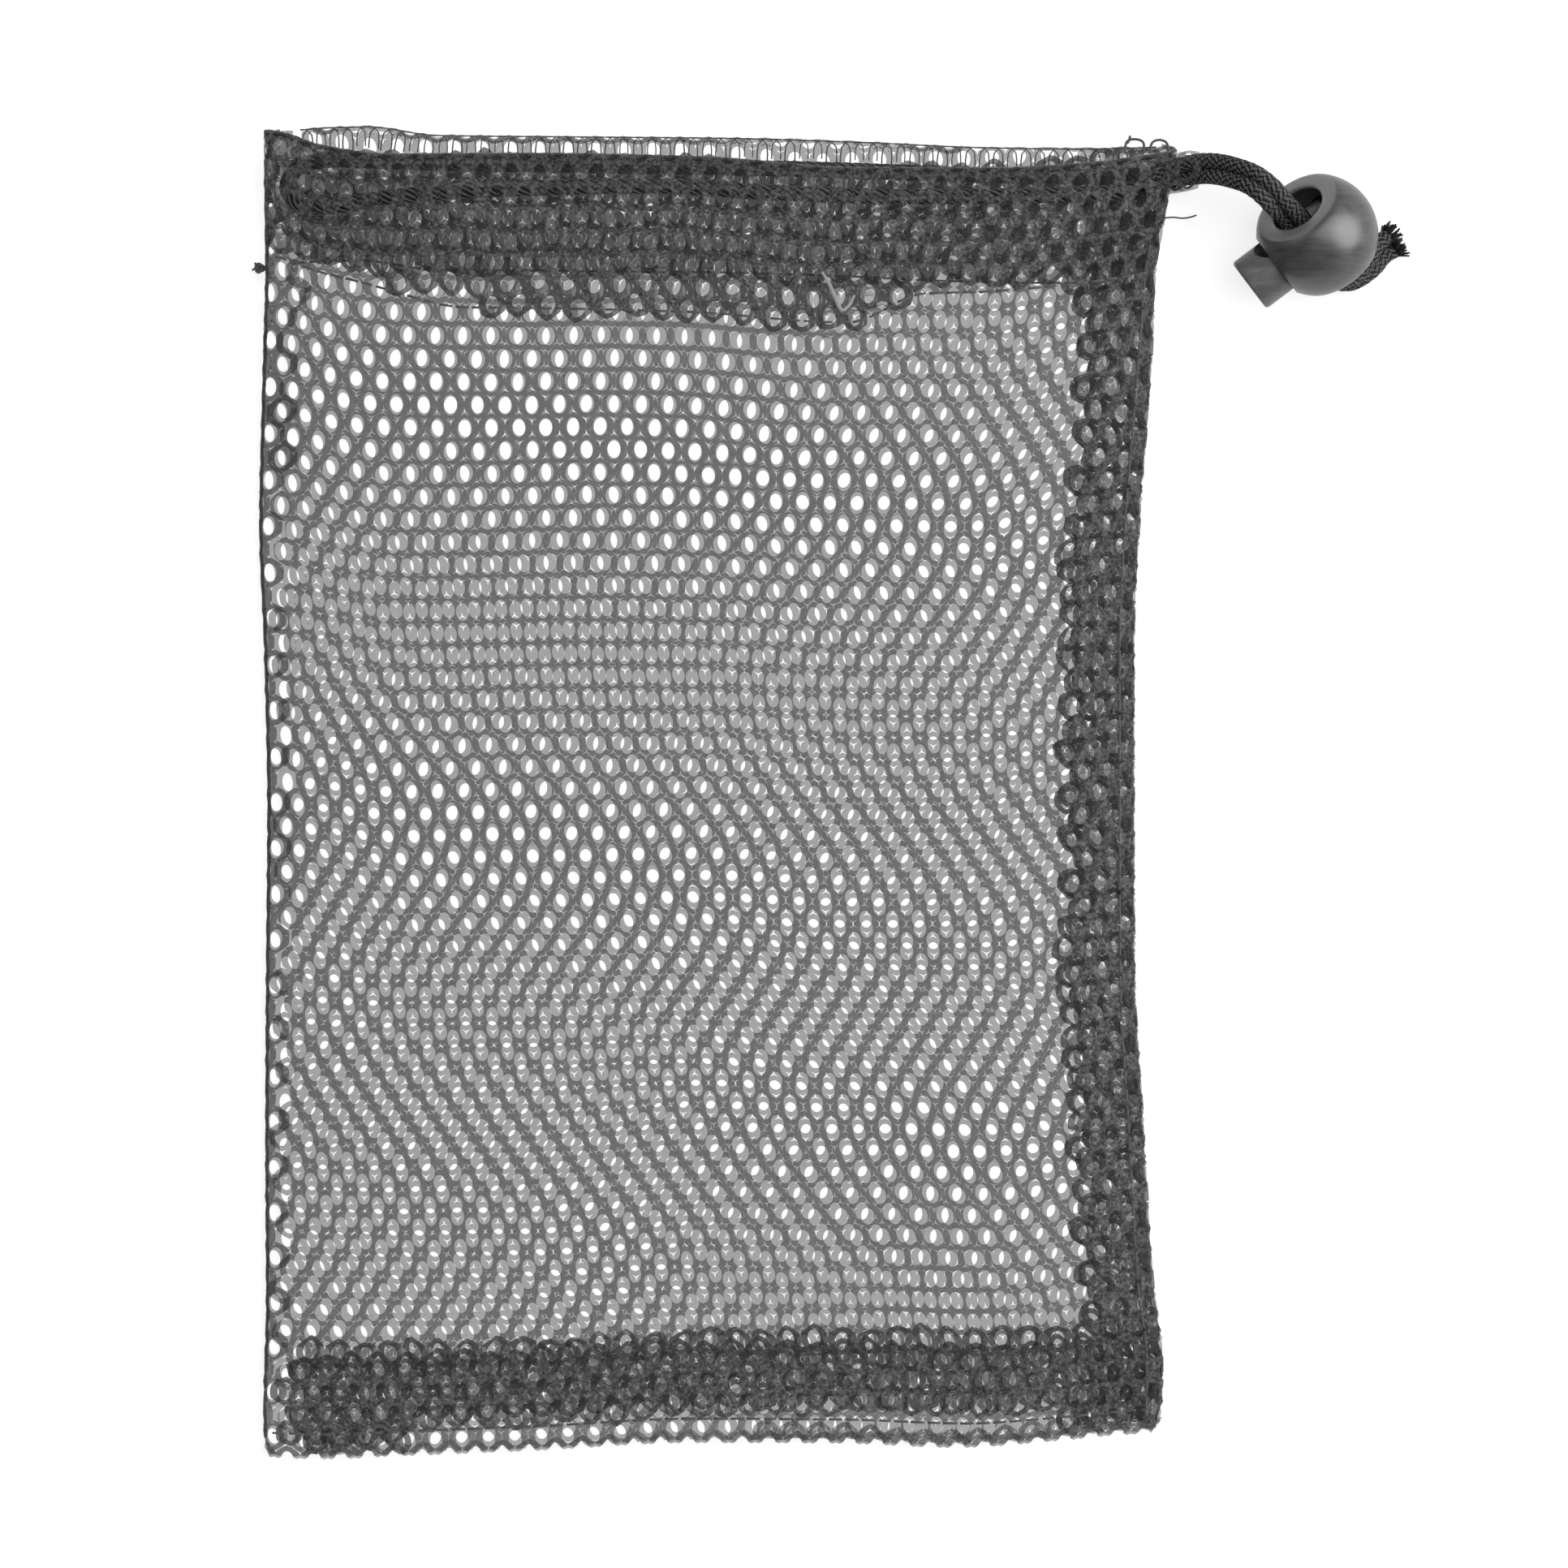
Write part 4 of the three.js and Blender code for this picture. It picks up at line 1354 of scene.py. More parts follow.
@dataclass
class NetBag:
    """The bag's net: front and back panels, hems and seam allowances."""

    knitter: Knitter
    front: FrontSheet = field(default_factory=FrontSheet)
    back: BackSheet = field(init=False)
    halfway: float = 95.0
    past_fold: float = 1.5
    past_side: float = 1.0
    past_bottom: float = 1.7
    past_back_bottom: float = 1.6
    past_mouth: float = 3.0
    bottom_allowance: float = 14.6
    bottom_slant: float = 1.3
    bottom_slant_run: tuple[float, float] = (-46.0, -26.0)
    bottom_loops: float = 3.0
    bottom_loops_start: tuple[float, float] = (-54.0, -44.0)
    bottom_loops_stop: tuple[float, float] = (50.0, 54.0)
    bottom_paler: float = 0.48
    side_allowance: float = 11.8
    side_starts: float = 3.0
    side_stops: float = 185.0
    side_inset: float = 0.6
    side_paler: float = 0.54
    hem_from: float = -6.0
    hem_to: float = 132.5
    hem_paler: float = 0.42
    edge_loops: float = 3.4
    edge_loops_stop: tuple[float, float] = (0.81, 0.85)
    ply_up: float = 0.5
    cuff_start: float = 65.0
    cuff_length: float = 4.5
    cuff_round: float = 2.75
    cuff_slack: float = 0.9
    cuff_wrap: float = 9.0
    cuff_paler: float = 0.5

    def __post_init__(self) -> None:
        """Lays the back under the front."""
        self.back = BackSheet(self.front)

    def build(self) -> dict[str, Piece]:
        """Makes every piece of net.

        Returns:
            The pieces by name.
        """
        front, back = self.front, self.back
        upper, lower, rear = Shape(), Shape(), Shape()
        front_hem, back_hem, bottom, side = Shape(), Shape(), Shape(), Shape()
        # The columns and rows of each ply reach past its edges, and its own rule keeps the cells that belong.
        wide, wider = range(-2, 36), range(-6, 43)
        panels = (
            (upper, FRONT_CELL, front.place, wide, range(27, 61), self._on_front_upper, self._on_plies),
            (lower, FRONT_CELL, front.place, wide, range(-2, 31), self._on_front_lower, self._on_plies),
            (rear, PLAIN_CELL, back.place, wider, range(-4, 64), self._on_back),
        )
        plies = (
            (front_hem, front.hem_ply, range(-3, 36), range(48, 61), self._in_front_hem),
            (back_hem, back.hem_ply, wider, range(44, 65), self._in_back_hem),
            (bottom, front.bottom_ply, range(0, 36), range(0, 8), self._in_front_bottom),
            (bottom, back.bottom_ply, wider, range(-5, 10), self._in_back_bottom),
            (side, front.side_ply, range(28, 36), range(0, 60), self._in_front_side),
            (side, back.side_ply, range(22, 40), range(-4, 65), self._in_back_side),
        )
        for panel in panels:
            self.knitter.add(*panel)
        for shape, place, columns, rows, keep in plies:
            self.knitter.add(shape, PLAIN_CELL, self._aside(place), columns, rows, keep)
        cuff = (self._cuff, range(0, 2), range(-2, 3), self._in_cuff, self._on_cuff)
        self.knitter.add(upper, FRONT_CELL, *cuff)
        shapes = {
            "net_front_upper": (upper, "mesh_body"),
            "net_front_lower": (lower, "mesh_body"),
            "net_back": (rear, "mesh_body"),
            "hem_front_net": (front_hem, "hem_front"),
            "hem_back_net": (back_hem, "hem_back"),
            "bottom_allowance_net": (bottom, "bottom_seam_allowance"),
            "side_allowance_net": (side, "side_seam_allowance"),
        }
        pieces = {}
        for name, (shape, node) in shapes.items():
            single = node == "mesh_body"
            # Plies under the front take the darker copy of the net, painted shade for the shade they don't
            # get.
            material = self.knitter.material if single else self.knitter.shaded_ply
            piece = carry(shape.piece(name, material), Body.BAG)
            # Bounced light passes the net, and only its front casts a shadow, which keeps the render quick.
            piece.visible_diffuse = False
            piece.visible_shadow = name.startswith("net_front")
            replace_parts(piece, node)
            pieces[name] = piece
        return pieces

    def declare(self, pieces: dict[str, Piece]) -> None:
        """Takes the pieces and does nothing with them.

        Args:
            pieces: the pieces by name; not used.
        """

    def _on_front(self, across: Points, up: Points) -> Points:
        """Cells of the front panel with its turns.

        Args:
            across, up: places in the lattice.

        Returns:
            True where a cell is kept.
        """
        nose = SIDES.at("edge", np.clip(up / self.front.height, 0.0, 1.0)) / 2 - HALF_NET
        wide = (across > -self.past_fold - nose * math.pi / 2) & (across < self.front.reach + self.past_side)
        return wide & (up > -self.past_bottom) & (up < self.front.height + self.past_mouth)

    def _on_plies(self, across: Points, up: Points) -> Points:
        """How much paler the front's yarn is made over the hem and the seams.

        Args:
            across: flat distance from the left edge.
            up: flat distance from the bottom edge.

        Returns:
            A share for each place.
        """
        hem = self.hem_paler * rise(0.0, 3.0, up - self.front.hem_edge(across))
        side = self.side_paler * rise(0.0, 2.0, across - self.front.reach + self.side_allowance)
        bottom = self.bottom_paler * rise(0.0, 2.0, self.bottom_allowance - up)
        return np.maximum(hem, np.maximum(side, bottom))

    def _cuff(self, across: Points, up: Points) -> Points:
        """Surface of the net's corner where it is drawn out round the two cords.

        Args:
            across: flat distance along the cords.
            up: flat distance round them.

        Returns:
            Points in the bag's frame, in millimetres.
        """
        x = self.cuff_start + across
        stop_x, *columns = np.array(PAIR_ROUTE[:4]).T
        middle_y, middle_z, _, aside, above = (np.interp(x, stop_x, column) for column in columns)
        turn = up / self.cuff_round
        y = middle_y + (self.cuff_round + self.cuff_slack * (aside - 1.0)) * np.sin(turn)
        z = middle_z + (self.cuff_round + self.cuff_slack * (above - 1.0)) * np.cos(turn)
        return np.stack([x, y, z], axis=1)

    def _in_cuff(self, across: Points, up: Points) -> Points:
        """Cells of the corner round the cords."""
        return (across < self.cuff_length) & (np.abs(up) < self.cuff_wrap)

    def _on_cuff(self, across: Points, up: Points) -> Points:
        """How much paler the yarn is made over the cords."""
        return np.full_like(across, self.cuff_paler)

    def _on_front_upper(self, across: Points, up: Points) -> Points:
        """Cells of the front panel's upper half."""
        return self._on_front(across, up) & (up >= self.halfway)

    def _on_front_lower(self, across: Points, up: Points) -> Points:
        """Cells of the front panel's lower half."""
        return self._on_front(across, up) & (up < self.halfway)

    def _back_runs(self, across: Points, up: Points) -> tuple[Points, Points, Points, Points, Points]:
        """Places of the back's cells, as runs past its edges.

        Args:
            across: lattice distance from the left edge.
            up: lattice distance from the bottom edge.

        Returns:
            Share across, and runs inside the left edge and past the right, bottom and mouth edges.
        """
        x, y = self.back.flat(across, up)
        inside, left, right, bottom, mouth = self.back.edges(x, y)
        return inside, x - left, x - right, bottom - y, y - mouth

    def _on_back(self, across: Points, up: Points) -> Points:
        """Cells of the back panel with its turns.

        Args:
            across, up: places in the lattice.

        Returns:
            True where a cell is kept.
        """
        _, inner, outer, below, past = self._back_runs(across, up)
        wide = (inner > -0.5) & (outer < self.past_side)
        return wide & (below < self.past_back_bottom) & (past < self.past_mouth)

    def _aside(self, place: Place) -> Place:
        """Draws a ply half a cell aside and unevenly, so that its holes lie off the panel's.

        Args:
            place: the ply's surface.

        Returns:
            The surface as it is drawn aside.
        """

        def drawn(across: Points, up: Points) -> Points:
            """Gives the ply's points, pulled to and fro along its length.

            Args:
                across: flat distance from the left edge.
                up: flat distance from the bottom edge.

            Returns:
                Points in the bag's frame, in millimetres.
            """
            east = across + PLAIN_CELL.across / 2
            for wave in PLY_WAVES_ACROSS:
                east = east + wave.at(across, up)
            north = up + self.ply_up
            for wave in PLY_WAVES_UP:
                north = north + wave.at(across, up)
            return place(east, north)

        return drawn

    def _bottom_from(self, x: Points) -> Points:
        """Height over the bottom edge where the allowance starts, with open loops below it."""
        loops = rise(*self.bottom_loops_start, x) * (1 - rise(*self.bottom_loops_stop, x))
        return 0.6 + self.bottom_loops * loops

    def _bottom_to(self, x: Points) -> Points:
        """Height over the bottom edge where the allowance ends."""
        return self.bottom_allowance + self.bottom_slant * rise(*self.bottom_slant_run, x)

    def _in_front_hem(self, across: Points, up: Points) -> Points:
        """Cells of the front's inner hem.

        Args:
            across, up: places in the lattice.

        Returns:
            True where a cell is kept.
        """
        front = self.front
        inside = (across > self.hem_from) & (across < self.hem_to)
        top = front.height + front.hem.turn - self.past_mouth
        return inside & (up > front.hem_edge(across)) & (up < top)

    def _in_back_hem(self, across: Points, up: Points) -> Points:
        """Cells of the back's inner hem.

        Args:
            across, up: places in the lattice.

        Returns:
            True where a cell is kept.
        """
        inside, inner, outer, _, past = self._back_runs(across, up)
        painted_shade = past > self.back.hem.out - self.back.hem.depth(inside)
        loops = self.edge_loops * (1 - rise(*self.edge_loops_stop, inside))
        return painted_shade & (past < -loops) & (inner > -1.0) & (outer < -2.6)

    def _in_front_bottom(self, across: Points, up: Points) -> Points:
        """Cells of the front's ply of the bottom allowance.

        Args:
            across, up: places in the lattice.

        Returns:
            True where a cell is kept.
        """
        x = across - self.front.reach / 2
        inside = (across > 1.0) & (across < self.front.reach - 2.0)
        return inside & (up > self._bottom_from(x) + 0.4) & (up < self._bottom_to(x))

    def _in_back_bottom(self, across: Points, up: Points) -> Points:
        """Cells of the back's ply of the bottom allowance.

        Args:
            across, up: places in the lattice.

        Returns:
            True where a cell is kept.
        """
        inside, inner, outer, below, _ = self._back_runs(across, up)
        x = (inside - 0.5) * BAG_WIDTH
        high = (-below > self._bottom_from(x)) & (-below < self._bottom_to(x))
        return high & (inner > 0.0) & (outer < -1.0)

    def _in_front_side(self, across: Points, up: Points) -> Points:
        """Cells of the front's ply of the side allowance.

        Args:
            across, up: places in the lattice.

        Returns:
            True where a cell is kept.
        """
        run = self.front.reach - 0.9 - across
        inside = (up > self.side_starts) & (up < self.side_stops)
        return (run > self.side_inset) & (run < self.side_allowance) & inside

    def _in_back_side(self, across: Points, up: Points) -> Points:
        """Cells of the back's ply of the side allowance.

        Args:
            across, up: places in the lattice.

        Returns:
            True where a cell is kept.
        """
        _, _, outer, below, past = self._back_runs(across, up)
        inside = (below < -self.side_starts) & (past < self.side_stops - self.front.height)
        return (outer < -self.side_inset) & (outer > -self.side_allowance) & inside


# Sewing

def stitch_group() -> Tree:
    """Makes the nodes that set stitches along a line at an even pitch.

    Returns:
        The tree, with inputs for the line, the stitch, its pitch, a seed and the material.
    """
    inputs = {
        "Geometry": "NodeSocketGeometry",
        "Stitch": "NodeSocketObject",
        "Pitch": "NodeSocketFloat",
        "Seed": "NodeSocketInt",
        "Material": "NodeSocketMaterial",
    }
    outputs = {"Geometry": "NodeSocketGeometry"}
    tree, given, result = open_group("stitch_run", "GeometryNodeTree", inputs, outputs)
    line = add_node(tree, "GeometryNodeMeshToCurve")
    feed(tree, line, Mesh=given["Geometry"])
    even = add_node(tree, "GeometryNodeResampleCurve", mode="LENGTH")
    feed(tree, even, Curve=line.outputs[0], Length=given["Pitch"])
    ahead = add_node(tree, "GeometryNodeInputTangent")
    heading = add_node(tree, "FunctionNodeAlignRotationToVector", axis="X")
    feed(tree, heading, Vector=ahead.outputs[0])
    stitch = add_node(tree, "GeometryNodeObjectInfo")
    feed(tree, stitch, Object=given["Stitch"])
    chance = add_node(tree, "FunctionNodeRandomValue", data_type="FLOAT")
    feed(tree, chance, Seed=given["Seed"])
    size = sum_up(tree, "MULTIPLY_ADD", chance.outputs["Value"], 0.25, 0.85)
    repeat = add_node(tree, "GeometryNodeInstanceOnPoints")
    feed(tree, repeat, Points=even.outputs[0], Instance=stitch.outputs["Geometry"])
    feed(tree, repeat, Rotation=heading.outputs[0], Scale=size)
    whole = add_node(tree, "GeometryNodeRealizeInstances")
    feed(tree, whole, Geometry=repeat.outputs[0])
    finish = add_node(tree, "GeometryNodeSetMaterial")
    feed(tree, finish, Geometry=whole.outputs[0], Material=given["Material"])
    feed(tree, result, Geometry=finish.outputs[0])
    return tree


# Routes of thread, as places in millimetres.
TACK_LINES = (
    ((15.3, 76.3), (16.3, 74.7), (17.3, 72.5), (18.3, 70.7), (19.2, 71.3), (20.1, 72.9)),
    ((21.3, 72.9), (22.2, 73.1), (23.1, 73.0)),
    ((23.3, 71.5), (24.1, 71.7), (24.9, 71.6)),
)
KNOT_PLACE = (-67.9, 77.6, 3.0)
KNOT_TAILS = (
    ((-67.4, 77.7, 3.0), (-68.2, 77.8, 3.2), (-69.0, 77.3, 2.6)),
    ((-67.4, 77.7, 3.0), (-68.2, 77.8, 3.2), (-68.6, 78.4, 3.3)),
)
LOOSE_END = (
    (66.0, 85.0, 3.4), (67.4, 85.1, 3.3), (68.8, 85.0, 2.8), (70.0, 85.2, 2.3), (70.9, 85.5, 2.2),
)
TORN_LOOPS = (
    ((60.1, 94.6, 5.2), (60.5, 96.2, 5.4), (61.6, 96.5, 5.5), (62.8, 96.1, 5.4), (63.0, 94.5, 5.2)),
    ((63.8, 94.4, 5.2), (64.2, 96.0, 5.4), (65.2, 96.4, 5.4), (66.3, 96.0, 5.3), (66.6, 94.4, 5.0)),
    ((60.5, 95.9, 5.4), (60.8, 96.4, 5.5), (60.9, 97.0, 5.6)),
    ((67.6, 91.6, 4.2), (68.4, 90.2, 3.8), (69.4, 89.4, 3.6), (70.2, 89.9, 3.8), (70.9, 90.9, 4.4)),
    ((68.2, 91.3, 4.3), (69.1, 90.4, 4.0), (70.0, 90.6, 4.2)),
    ((66.9, 89.4, 3.9), (68.0, 89.2, 3.7), (68.9, 89.9, 3.8)),
)
# Half of one small loop, from its foot to its top.
HALF_LOOP = ((-0.7, -3.1), (-0.72, -2.0), (-0.6, -0.8), (0.0, -0.1))


@dataclass
class Sewing:
    """Seam and hem stitches, the back-tack, thread ends, loops and the yarn along the edges."""

    front: FrontSheet
    back: BackSheet
    thread: Material
    pale: Material
    tree: Tree
    pitch: float = 2.4
    length: float = 1.9
    arch: float = 0.16
    thick: float = 0.17
    loop_pitch: float = 2.03
    loop_thick: float = 0.11
    hem_inset: float = 0.7
    back_hem_height: float = 1.5
    bottom_inset: float = 4.0
    side_inset: float = 3.4
    mouth_height: float = 96.0
    knot_thick: float = 0.26
    torn_thick: float = 0.2
    line_points: int = 90
    side_points: int = 110
    edge_points: int = 150
    fold_points: int = 160
    thread_sides: int = 6
    knot_sides: int = 7
    loop_sides: int = 5
    seed: int = 40

    def build(self) -> None:
        """Makes every piece of thread."""
        hems = (self._front_hem_line(), self._back_hem_line())
        seams = (self._bottom_line(), self._side_line())
        self._finish(self._runs(hems, self._stitch(), self.pitch), "hem_stitches", self.thread)
        self._finish(self._runs(seams, self._stitch(), self.pitch), "seam_stitches", self.thread)
        self._finish(self._edge_loops(), "edge_loops", self.thread)
        self._finish(self._fold_line(), "fold_edge_yarn", self.thread)
        self._finish(self._tack(), "back_tack", self.pale)
        self._finish(self._ends(), "thread_ends", self.thread)
        self._finish(self._torn_loops(), "torn_loops", self.thread)

    def _finish(self, shape: Shape, name: str, material: Material) -> None:
        """Makes a shape into a piece that rides on the bag."""
        carry(shape.piece(name, material), Body.BAG)

    def _stitch(self) -> Shape:
        """Makes the stitch that the nodes repeat, a short bar with bent ends.

        Returns:
            Its shape.
        """
        along = np.linspace(-0.5, 0.5, 5) * self.length
        arch = self.arch * (1 - (2 * along / self.length) ** 2)
        shape = Shape()
        line = np.stack([along, np.zeros_like(along), arch], axis=1)
        add_tube(shape, line, self.thick, self.thread_sides)
        return shape

    def _runs(self, lines: Sequence[Points], stitch: Shape, pitch: float) -> Shape:
        """Sets stitches or loops along lines.

        Args:
            lines: points of each line, in millimetres.
            stitch: the shape that repeats.
            pitch: the spacing along the line.

        Returns:
            The shape of them all.
        """
        shape = Shape()
        mesh = bpy.data.meshes.new("stitch")
        mesh.from_pydata(stitch.points[0].tolist(), [], stitch.faces)
        unit = bpy.data.objects.new("stitch", mesh)
        for line in lines:
            self.seed += 1
            inputs = {"Stitch": unit, "Pitch": pitch, "Seed": self.seed, "Material": self.thread}
            mesh = grown_mesh(self.tree, line, **inputs)
            points = np.array([tuple(vertex.co) for vertex in mesh.vertices])
            faces = [tuple(face.vertices) for face in mesh.polygons]
            shape.add(points, faces, points[:, :2], 0.5)
            bpy.data.meshes.remove(mesh)
        bpy.data.objects.remove(unit)
        return shape

    def _front_hem_line(self) -> Points:
        """Line of the front hem's stitches, on the front's outside.

        Returns:
            The line's points.
        """
        across = np.linspace(4.0, self.front.reach - 4.0, self.line_points)
        up = self.front.hem_edge(across) + self.hem_inset
        return self.front.place(across, up) + (0.0, 0.0, 0.4)

    def _back_hem_line(self) -> Points:
        """Line of the back hem's stitches, on its inner ply.

        Returns:
            The line's points.
        """
        x = np.linspace(-62.0, 62.0, self.line_points)
        inside, _, _, _, mouth = self.back.edges(x, np.full_like(x, 76.0))
        y = mouth + self.back.hem.out - self.back.hem.depth(inside) + self.hem_inset
        return np.stack([x, y, np.full_like(x, self.back_hem_height)], axis=1)

    def _bottom_line(self) -> Points:
        """Line of the bottom seam's stitches."""
        across = np.linspace(3.0, self.front.reach - 3.0, self.line_points)
        return self.front.place(across, np.full_like(across, self.bottom_inset)) + (0.0, 0.0, 0.3)

    def _side_line(self) -> Points:
        """Line of the right seam's stitches."""
        up = np.linspace(5.0, 176.0, self.side_points)
        return self.front.place(np.full_like(up, self.front.reach - self.side_inset), up) + (0.1, 0.0, 0.25)

    def _fold_line(self) -> Shape:
        """Makes the bunched yarn along the left fold and along both edges of the mouth.

        Returns:
            Its shape.
        """
        shape = Shape()
        share = np.linspace(0.012, 0.985, self.fold_points)
        x = SIDES.at("left", share) + 0.32 + 0.06 * np.sin(share * 310.0)
        y = -98.0 + 194.6 * share
        line = np.stack([x, y, SIDES.at("edge", share) / 2], axis=1)
        thick = 0.27 + 0.05 * np.sin(share * 490.0)
        add_tube(shape, line, thick[:, None], self.thread_sides, 0.4)
        across = np.linspace(1.5, self.front.reach - 2.0, self.edge_points)
        up = self.front.height + self.front.hem.turn / 2
        mouth = self.front.place(across, np.full_like(across, up))
        thick = 0.26 + 0.05 * np.sin(across * 3.1)
        add_tube(shape, mouth, thick[:, None], self.thread_sides, 0.3)
        x = np.linspace(-62.0, 65.0, self.edge_points)
        edge = self.back.edges(x, np.full_like(x, self.mouth_height))[4]
        rear = self.back.bend(x, edge + self.back.hem.turn / 2)
        thick = 0.12 + 0.03 * np.sin(x * 3.1)
        add_tube(shape, rear, thick[:, None], self.thread_sides, 0.5)
        return shape

    def _edge_loops(self) -> Shape:
        """Sets the small open loops that stand along the back's edge of the mouth.

        Returns:
            Their shape.
        """
        x = np.linspace(-61.0, 60.0, self.edge_points)
        edge = self.back.edges(x, np.full_like(x, self.mouth_height))[4]
        line = self.back.bend(x, edge + self.back.hem.turn * 0.55)
        mirrored = tuple((-side, up) for side, up in HALF_LOOP[-2::-1])
        loop = [(side, up, 0.0) for side, up in HALF_LOOP + mirrored]
        shape = Shape()
        add_tube(shape, np.array(loop), self.loop_thick, self.loop_sides)
        return self._runs([line], shape, self.loop_pitch)

    def _tack(self) -> Shape:
        """Makes the light zigzag where the hem's seam was locked.

        Returns:
            Its shape.
        """
        shape = Shape()
        for stops in TACK_LINES:
            x, y = np.array(stops).T
            line = smooth_route(self.front.top(x, y, 0.42), 0.25)
            swell = 0.19 + 0.14 * np.sin(np.linspace(0.0, math.pi, len(line)))
            add_tube(shape, line, swell[:, None], self.knot_sides, 0.5)
        return shape

    def _ends(self) -> Shape:
        """Makes the knot at the left edge and the loose end at the right one.

        Returns:
            Their shape.
        """
        turn = np.linspace(0.0, 4 * math.pi, 60)
        ring = 0.42 + 0.22 * np.cos(1.5 * turn)
        knot = np.stack([ring * np.cos(turn), ring * np.sin(turn), 0.4 * np.sin(1.5 * turn)], axis=1)
        shape = Shape()
        add_tube(shape, knot + KNOT_PLACE, self.knot_thick, self.knot_sides, 0.4)
        for stops in KNOT_TAILS:
            add_tube(shape, smooth_route(stops, 0.2), 0.16, self.thread_sides, 0.4)
        add_tube(shape, smooth_route(LOOSE_END, 0.25), 0.13, self.thread_sides, 0.6)
        return shape

    def _torn_loops(self) -> Shape:
        """Makes the loops of net that stand free at the cord's corner.

        Returns:
            Their shape.
        """
        shape = Shape()
        for stops in TORN_LOOPS:
            add_tube(shape, smooth_route(stops, 0.25), self.torn_thick, self.thread_sides, 0.6)
        return shape


# Cord lock frame

LOCK_CENTRE = np.array((88.3, 82.1, 9.5))
PLUNGER_HEADING = math.radians(217.0)
PLUNGER_DIP = math.radians(5.0)
HOLE_LEAN = math.radians(54.0)


def lock_axes() -> Points:
    """Gives the lock's axes: along the plunger, across it and along the cord hole.

    Returns:
        Three rows, one axis each.
    """
    plunger = np.array((
        math.cos(PLUNGER_HEADING) * math.cos(PLUNGER_DIP),
        math.sin(PLUNGER_HEADING) * math.cos(PLUNGER_DIP),
        -math.sin(PLUNGER_DIP),
    ))
    level = np.array((math.sin(PLUNGER_HEADING), -math.cos(PLUNGER_HEADING), 0.0))
    upright = np.cross(level, plunger)
    hole = level * math.sin(HOLE_LEAN) + upright * math.cos(HOLE_LEAN)
    hole /= np.linalg.norm(hole)
    return np.stack([plunger, np.cross(hole, plunger), hole])


def in_lock(x: float, y: float, z: float) -> Points:
    """Place in the bag's frame of a place in the lock."""
    return LOCK_CENTRE + np.array((x, y, z)) @ lock_axes()


# Drawstring

LOOP_ROUTE = (
    (61.6, 89.2, 6.3), (58.5, 88.5, 7.7), (55.0, 88.2, 9.05), (48.0, 87.8, 10.9), (40.0, 87.6, 11.9),
    (26.0, 87.5, 12.4), (10.0, 88.0, 12.5), (-8.0, 89.0, 12.5), (-26.0, 88.8, 12.4), (-40.0, 88.2, 11.7),
    (-50.0, 87.3, 10.2), (-57.0, 86.3, 8.1), (-61.8, 86.7, 5.9), (-63.7, 89.3, 4.5), (-62.4, 92.3, 3.4),
    (-58.0, 93.6, 2.7), (-50.0, 93.5, 2.5), (-38.0, 93.1, 2.5), (-22.0, 92.9, 2.5), (-4.0, 92.6, 2.5),
    (16.0, 92.2, 2.5), (36.0, 91.5, 2.5), (50.0, 91.2, 2.5), (58.0, 91.1, 2.6), (61.9, 91.0, 2.7),
)
# Middle of the pair of cords, then the way from it to the front one, before and after the lock.
PAIR_ROUTE = (
    (62.5, 90.2, 4.4, 0.0, -0.75, 1.7), (66.4, 91.2, 4.5, -0.2, 0.75, 1.0),
    (69.6, 91.9, 5.7, -0.2, 1.08, 0.6), (72.7, 91.9, 8.9, 0.1, 1.2, 0.3),
    (75.8, 91.0, 12.6, 0.37, 1.16, 0.12), (78.6, 89.7, 14.9, 0.61, 1.05, 0.06),
    (80.8, 87.9, 15.6, 0.8, 0.92, 0.0), (82.3, 86.3, 14.7, 0.95, 0.6, 0.35),
)
END_ROUTE = (
    (91.6, 75.9, 4.2, 0.68, 0.12, 1.0), (94.2, 75.9, 2.7, 0.24, 0.38, 1.13),
    (96.6, 77.9, 2.26, -0.55, 0.39, 1.0), (98.2, 80.2, 2.05, -0.6, 0.73, 0.76),
    (99.7, 81.4, 1.8, -0.54, 1.0, 0.43),
)
# The pair in the lock: stops along the hole, its middle along the plunger, and the way to the front one.
HOLE_STOPS = (6.1, 0.0, -6.1)
PAIR_IN_HOLE = 1.5
FRONT_IN_HOLE = (-0.98, 0.73)


